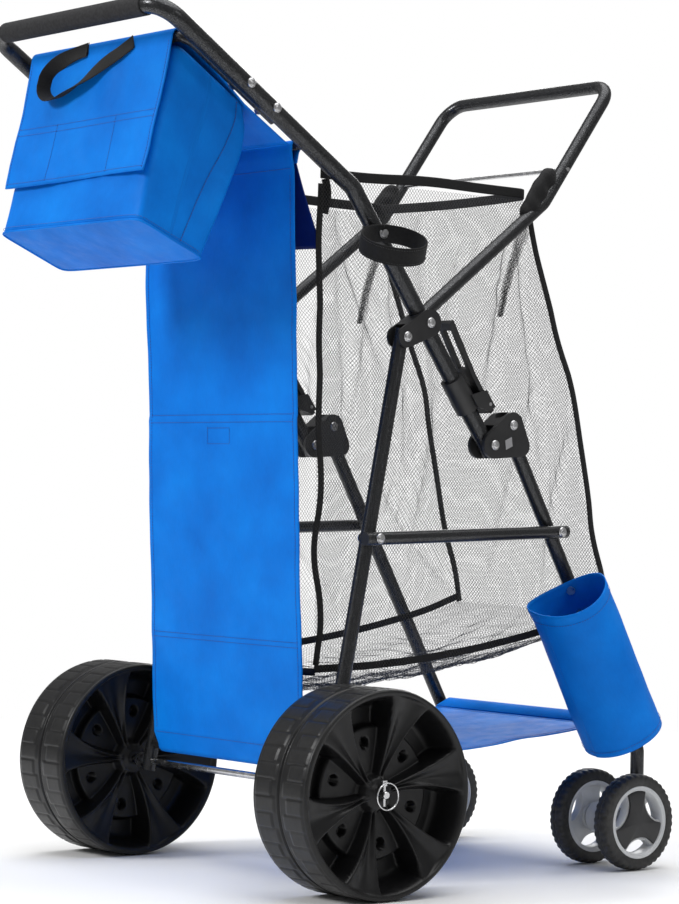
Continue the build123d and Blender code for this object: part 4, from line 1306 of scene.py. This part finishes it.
def net_bindings():
    """Black tapes sewn over the net's edges: front corners, floor edges, rear corners and the
    cross seams, each a little wavy where the net is slack."""
    runs = []
    front = even(net_front_line(), 9.0)
    floor = even(net_floor_line(), 9.0) + np.array((0, 9.0))
    rear = [(4, 955), (2, 850), (12, 734), (5, 640), (16, 548), (4, 456), (20, 360), (10, 300)]
    rear = even(rounded(rear, 3), 9.0)
    for sign in (1, -1):
        for path, across in ((front, (0.0, 1.0, 0.2)), (floor, (0.0, 0.1, 1.0)), (rear, (0.0, 1.0, 0.0))):
            wobble = 2.6 * np.sin(lengths(path) / 31.0 + sign) * np.sin(lengths(path) / 83.0 + 2.0 * sign)
            line = in_side(path, 0)
            line[:, 0] = sign * (NET_HALF - 0.2 - np.abs(wobble) * 0.5)
            line[:, 1] += wobble if path is not floor else 0
            runs.append((line, across))
    x = np.linspace(-NET_HALF, NET_HALF, 40)
    low_rear = np.column_stack([x, 9 + 0 * x, 291 - 4 * np.cos(x / NET_HALF * np.pi / 2)])
    runs.append((low_rear, (0, 0.2, 1.0)))
    tapes = straps("net_bindings", runs, 10.5, 1.3, WEBBING, sides=8)
    hang(tapes)
    return tapes


tapes = net_bindings()


def rim_band():
    """Webbing round the net's mouth: a closed rounded rectangle that sags a little at its sides."""
    side = np.array([(4, 969.0), (90, 967.5), (190, 972.5), (280, 969.5), (366, 968.0)])
    side = even(rounded(side, 3), 7.0)
    front_x = np.linspace(NET_HALF - 8, -NET_HALF + 8, 44)
    bow = np.cos(front_x / NET_HALF * 1.5)
    front = np.column_stack([front_x, 377.0 - 1.5 * bow, 966.0 - 3.5 * bow])
    right = in_side(side, NET_HALF)
    left = in_side(side, -NET_HALF)[::-1]
    corner_r = np.array([(NET_HALF - 1.0, 372.0, 967.5), (NET_HALF - 4.0, 376.0, 967.2)])
    corner_l = corner_r[::-1] * np.array((-1, 1, 1))
    path = np.concatenate([right, corner_r, front, corner_l, left])
    band = strap("net_rim_band", path, (0.0, 0.05, 1.0), 14.0, 1.5, WEBBING, sides=10)
    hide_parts("net_rim")
    hang(band)
    return band


band = rim_band()


def corner_ties():
    """Short straps from the net's rear corners to the main tube, each with a loose tail."""
    runs = []
    for sign in (1, -1):
        path = np.array([(NET_HALF, 10, 969), (178, 10, 970), (186, 11, 971), (192.0, 13, 971)], float)
        path = even(rounded(path, 2), 3.0) * np.array((sign, 1, 1))
        runs.append((path, (0.0, 0.2, 1.0)))
        tail = np.array([(NET_HALF - 2, 14, 962), (NET_HALF - 3, 20, 940), (NET_HALF - 5, 15, 915)], float)
        runs.append((even(rounded(tail, 2), 4.0) * np.array((sign, 1, 1)), (0.2, 1.0, 0.0)))
    piece = straps("net_corner_ties", runs, 12.0, 1.4, WEBBING, sides=8)
    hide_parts("net_ties")
    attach(piece, "upper_frame")


corner_ties()


# ---- bail straps ----------------------------------------------------------------------------
BAIL_X = 182.9


def bail_wraps():
    """Hook-and-loop straps that bind the net's corners to the bail at its bend: each is a lumpy
    sleeve round a short bent path, its surface pulled into soft creases and its ends drawn in."""
    spine = even(rounded([(362.0, 931.0), (378.0, 947.0), (391.0, 973.0), (419.0, 1004.0)], 3), 2.2)
    share = lengths(spine) / lengths(spine)[-1]
    turns = np.linspace(0, 2 * np.pi, 72, endpoint=False)
    run = tangents(spine)
    side = np.stack([-run[:, 1], run[:, 0]], -1)
    t, a = np.meshgrid(turns, share)
    end = np.clip(1 - np.abs(2 * a - 1) ** 7, 0.0, 1) ** 0.5
    crease = 1.3 * np.sin(3 * t + 9.0 * a) * np.sin(11.0 * a) + 0.8 * np.sin(23.0 * a + 2.0 * np.sin(t))
    across = end * (13.0 + crease + 1.2 * t / (2 * np.pi))
    out = end * (12.2 + crease)
    parts = []
    for sign in (1, -1):
        y = spine[:, 0][:, None] + across * np.cos(t) * side[:, 0][:, None]
        z = spine[:, 1][:, None] + across * np.cos(t) * side[:, 1][:, None]
        parts.append((np.stack([sign * (BAIL_X - 3.0 + out * np.sin(t)), y, z], -1), False))
    points, faces = join_grids(parts)
    wraps = make_piece("bail_strap_wraps", points, faces, WEBBING, uv=points[:, [1, 2]])
    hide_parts("bail_wraps")
    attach(wraps, "bail")


GATHER_SPINE = even(rounded([(386.0, 952.0), (374.0, 900.0), (352.0, 850.0), (338.0, 790.0)], 3), 4.0)


def gather_place(sign):
    """Strip of net drawn together into a hanging tail: its width is taken up by deep pleats."""
    def place(flat):
        s, f = flat[..., 0], flat[..., 1] / 45.0
        run = lengths(GATHER_SPINE)
        y = np.interp(s, run, GATHER_SPINE[:, 0])
        z = np.interp(s, run, GATHER_SPINE[:, 1])
        share = s / run[-1]
        width = np.interp(share, (0, 0.25, 0.6, 1), (8.0, 12.0, 8.0, 2.5)) * (1 + 0.15 * np.sin(9 * share))
        pleat = 4.6 * np.sin(14.0 * f + 5.0 * share)
        return np.stack([sign * (NET_HALF - 7.0 + pleat * 0.9), y + f * width, z + 0.3 * f * width], -1)
    return place


def corner_gathers():
    """Net drawn together under each strap."""
    run = lengths(GATHER_SPINE)[-1]
    outline = [(0, -44), (run, -44), (run, 44), (0, 44)]
    for side_name, sign in (("right", 1), ("left", -1)):
        tail = net_piece(f"net_gather_{side_name}", outline, gather_place(sign))


bail_wraps()


# ---- umbrella loop --------------------------------------------------------------------------
def umbrella_loop():
    """Stiff webbing hoop that stands out from the main tube and droops: a little more than a turn
    of a near circle in a tilted plane, its tail lapped over the outside."""
    out = np.array((0.86, -0.30, -0.42))
    out /= np.linalg.norm(out)
    side = np.cross((0.0, 0.0, 1.0), out)
    side /= np.linalg.norm(side)
    up = np.cross(out, side)
    middle = np.array((MAIN_X + MAIN_R + 1.6, 74.5, 889.0)) + out * 47.0
    turns = np.radians(np.linspace(180.0, 585.0, 150))
    r = 45.6 + 2.4 * step_up(turns, np.radians(535.0), np.radians(550.0)) + 0.5 * np.sin(3 * turns)
    path = middle + out * (r * np.cos(turns))[:, None] + side * (r * np.sin(turns) * 0.97)[:, None]
    hoop = strap("umbrella_hoop", path, up, 26.0, 2.2, WEBBING)
    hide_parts("umbrella_strap")
    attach(hoop, "upper_frame")
    edges = []
    for shift in (-9.5, 9.5):
        line = path + up * shift
        line = even(line + outward_from(line, middle) * 1.2, 3.6)
        edges.append((line, outward_from(line, middle)))
    sewn = stitches("hoop_stitches", edges, DARK_THREAD, pitch=3.6, long=2.4, thick=0.6)
    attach(sewn, "upper_frame")


umbrella_loop()


# ---- bottle holder --------------------------------------------------------------------------
CUP_TOP = np.array((385.3, 399.1))
CUP_LENGTH = 236.0
CUP_R = 60.4
CUP_X = LEG_X + (61.5 + 10.6) * math.sin(math.radians(45))
CUP_TURNS = np.linspace(0, 2 * np.pi, 144, endpoint=False)
CUP_DOWN = np.array((0.0, *LEG_SLOPE))


def cup_ring(share, inset):
    """Ring at this share of the cup's depth: a circle squeezed a little flat, dented by ripples,
    thicker at its hem, and higher and lower by a double cosine at the mouth."""
    out = np.array((LEG_SLOPE[1], -LEG_SLOPE[0]))
    oval = np.cos(2 * CUP_TURNS + 0.9)
    pinch = 1 - 0.035 * oval - 0.012 * np.cos(3 * CUP_TURNS + 7 * share)
    dent = 1.0 * ripple(CUP_TURNS * 60.0, np.full_like(CUP_TURNS, share * CUP_LENGTH), 41, 150.0)
    hem = 0.9 * (share < 0.06)
    r = (CUP_R + hem + dent * (share > 0.03)) * pinch - inset
    mouth = -6.0 * oval * (1 - step_up(share, 0.0, 0.25))
    along = share * CUP_LENGTH + mouth * 0.8 + 5.0 * (share < 0.2) * (1 - share / 0.2)
    y = CUP_TOP[0] + LEG_SLOPE[0] * along + out[0] * r * np.cos(CUP_TURNS)
    z = CUP_TOP[1] + LEG_SLOPE[1] * along + out[1] * r * np.cos(CUP_TURNS)
    return np.stack([CUP_X + r * np.sin(CUP_TURNS), y, z], -1)


def cup_skin(outside, inside):
    """One closed skin from the middle of the floor's underside up the outside, over the mouth
    and down the inside to the floor, which sags. Also its UV, in real distances."""
    centre = outside[-1].mean(0)
    shares = np.array((0.97, 0.9, 0.75, 0.5, 0.25, 0.0))[:, None, None]
    low = centre + (outside[-1] - centre) * shares + CUP_DOWN * 3.0 * (1 - shares ** 2)
    high = centre + (inside[-1] - centre) * shares - CUP_DOWN * 2.2
    skin = np.concatenate([low[::-1], outside[::-1], inside, high])
    down = np.arange(len(skin))[:, None] * 5.1 + 0 * CUP_TURNS
    return skin, np.stack([np.broadcast_to(CUP_TURNS * 60.0, down.shape), down], -1)


def cup_runs(outside):
    """Stitching on the cup: round its hem, round its floor and down one side."""
    runs = []
    for share in (0.075, 0.965):
        line = cup_ring(share, -0.7)
        closed = even(np.concatenate([line, line[:1]]), 4.2)
        runs.append((closed, outward_from(closed, line.mean(0))))
    line = outside[2:-2, 84]
    outward = line[0] - outside[2].mean(0)
    outward = outward / np.linalg.norm(outward)
    runs.append((line + outward * 0.7, outward))
    return runs


def bottle_holder():
    """Sewn cloth cup on the right lower leg, carried with the lower frame."""
    depth = np.linspace(0, 1, 46)
    outside = np.array([cup_ring(d, 0.0) for d in depth])
    inside = np.array([cup_ring(d, 1.9) for d in depth])
    skin, uv = cup_skin(outside, inside)
    cup = make_piece("bottle_cup", skin, grid_faces(len(skin), len(CUP_TURNS), wrap_cols=True), BLUE, uv)
    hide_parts("bottle_holder", "holder_base")
    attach(cup, "lower_frame")
    sewn = stitches("cup_stitches", cup_runs(outside), BLUE_THREAD)
    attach(sewn, "lower_frame")
    for piece in (cup, sewn):
        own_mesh(piece)


bottle_holder()


# ---- platform -------------------------------------------------------------------------------
PLATFORM_HALF = 188.0


def platform_grid(path, wrap, x):
    """The platform's surface, and its slack: the path at every x, sunk by a half sine wave along
    its run and a cosine across it, with ripples, its edges drawn in by the same slack."""
    run = lengths(path)
    share = np.clip((run - run[wrap]) / (run[-1] - run[wrap]), 0, 1)[:, None]
    slack = np.sin(np.pi * share)
    bow = 8.0 + 3.0 * np.cos(x[None, :] / PLATFORM_HALF * np.pi / 2)
    z = path[:, 1][:, None] - slack * (bow - 2.0 * ripple(x[None, :], share * 500.0, 51, 160.0))
    y = path[:, 0][:, None] + 0 * z
    return np.stack([x[None, :] * (1 - 0.02 * slack), y, z], -1)


def platform_sheet():
    """Cloth floor: a hem round the front cross bar and a shallow slack run back to the bottom bar."""
    run = (BOTTOM_BAR - CROSS_BAR) / np.linalg.norm(BOTTOM_BAR - CROSS_BAR)
    rear = BOTTOM_BAR - run * 14.4
    lap = CROSS_BAR + run * 27.0 - np.array((0.0, -1.8))
    hem = np.concatenate([[lap], arc(CROSS_BAR, 10.8, 112, -118, 30)])
    path = np.concatenate([hem, even(np.array([CROSS_BAR + run * 26.0, rear]), 9.0)])
    wrap = len(hem)
    grid = platform_grid(path, wrap, np.linspace(-PLATFORM_HALF, PLATFORM_HALF, 81))
    sheet = cloth("platform_cloth", grid, BLUE, 1.5)
    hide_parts("platform")
    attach(sheet, "lower_frame")
    upward = np.array((0.0, 0.0, 1.0))
    lines = [(grid[row][2:-2] + upward, upward) for row in (wrap + 1, len(path) - 3)]
    lines += [(grid[wrap + 1:-2, column] + upward, upward) for column in (2, 78)]
    sewn = stitches("platform_stitches", lines, BLUE_THREAD)
    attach(sewn, "lower_frame")
    for piece in (sheet, sewn):
        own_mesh(piece)


platform_sheet()
corner_gathers()


# ---- floor, light and camera ----------------------------------------------------------------
def pale_floor():
    """Round pale floor just under the wheels."""
    pale = Finish("studio_floor", (0.86, 0.86, 0.86), 0.85)
    pale.colours(pale.noise(0.6, 2.0), (0.3, (0.86, 0.86, 0.86)), (0.7, (0.88, 0.88, 0.88)))
    bpy.ops.mesh.primitive_circle_add(vertices=96, radius=2.6, fill_type="NGON", location=(0, 0, -0.0005))
    floor = bpy.context.object
    floor.name = "studio_floor"
    floor.data.materials.append(pale.material)


def surround():
    """White surround that looks bright but lights the cart only softly."""
    world = bpy.data.worlds.new("studio_surround")
    world.use_nodes = True
    tree = world.node_tree
    glow = tree.nodes["Background"]
    glow.inputs["Color"].default_value = (1.0, 1.0, 1.0, 1)
    path = tree.nodes.new("ShaderNodeLightPath")
    level = tree.nodes.new("ShaderNodeMapRange")
    level.inputs["To Min"].default_value = 0.30
    level.inputs["To Max"].default_value = 1.0
    tree.links.new(path.outputs["Is Camera Ray"], level.inputs["Value"])
    tree.links.new(level.outputs[0], glow.inputs["Strength"])
    bpy.context.scene.world = world


def studio():
    """A broad key light, a fill, an overhead panel and a light from behind, all aimed at the
    middle of the cart."""
    pale_floor()
    surround()
    for name, place, size, power in (
        ("key_light", (-1.5, -4.3, 3.3), 1.3, 150.0),
        ("fill_light", (4.6, 0.4, 2.6), 0.6, 18.0),
        ("top_light", (0.4, 0.2, 5.5), 6.0, 330.0),
        ("rim_light", (-2.6, 3.0, 2.2), 1.6, 35.0),
    ):
        lamp = bpy.data.lights.new(name, "AREA")
        lamp.size = size
        lamp.energy = power
        holder = bpy.data.objects.new(name, lamp)
        holder.location = place
        aim = Vector((0.0, 0.0, 0.6)) - Vector(place)
        holder.rotation_mode = "QUATERNION"
        holder.rotation_quaternion = aim.to_track_quat("-Z", "Y")
        bpy.context.scene.collection.objects.link(holder)
    bpy.context.scene.view_settings.view_transform = "Standard"


def camera():
    """Long lens at hub height, from behind the cart's right side."""
    around, lift, roll = math.radians(51.9), math.radians(-0.6), math.radians(1.0)
    back = Vector((math.sin(around) * math.cos(lift), -math.cos(around) * math.cos(lift), math.sin(lift)))
    right = Vector((math.cos(around), math.sin(around), 0.0))
    up = back.cross(right)
    level_x = right * math.cos(roll) + up * math.sin(roll)
    level_y = up * math.cos(roll) - right * math.sin(roll)
    data = bpy.data.cameras.new("camera")
    data.lens = 119.43
    data.sensor_width = 36.0
    data.clip_end = 100.0
    holder = bpy.data.objects.new("camera", data)
    turn = Matrix((level_x, level_y, back)).transposed()
    holder.matrix_world = Matrix.Translation((3.3924, AXLE_Y - 2.4826, 0.5477)) @ turn.to_4x4()
    bpy.context.scene.collection.objects.link(holder)
    bpy.context.scene.camera = holder


studio()
camera()
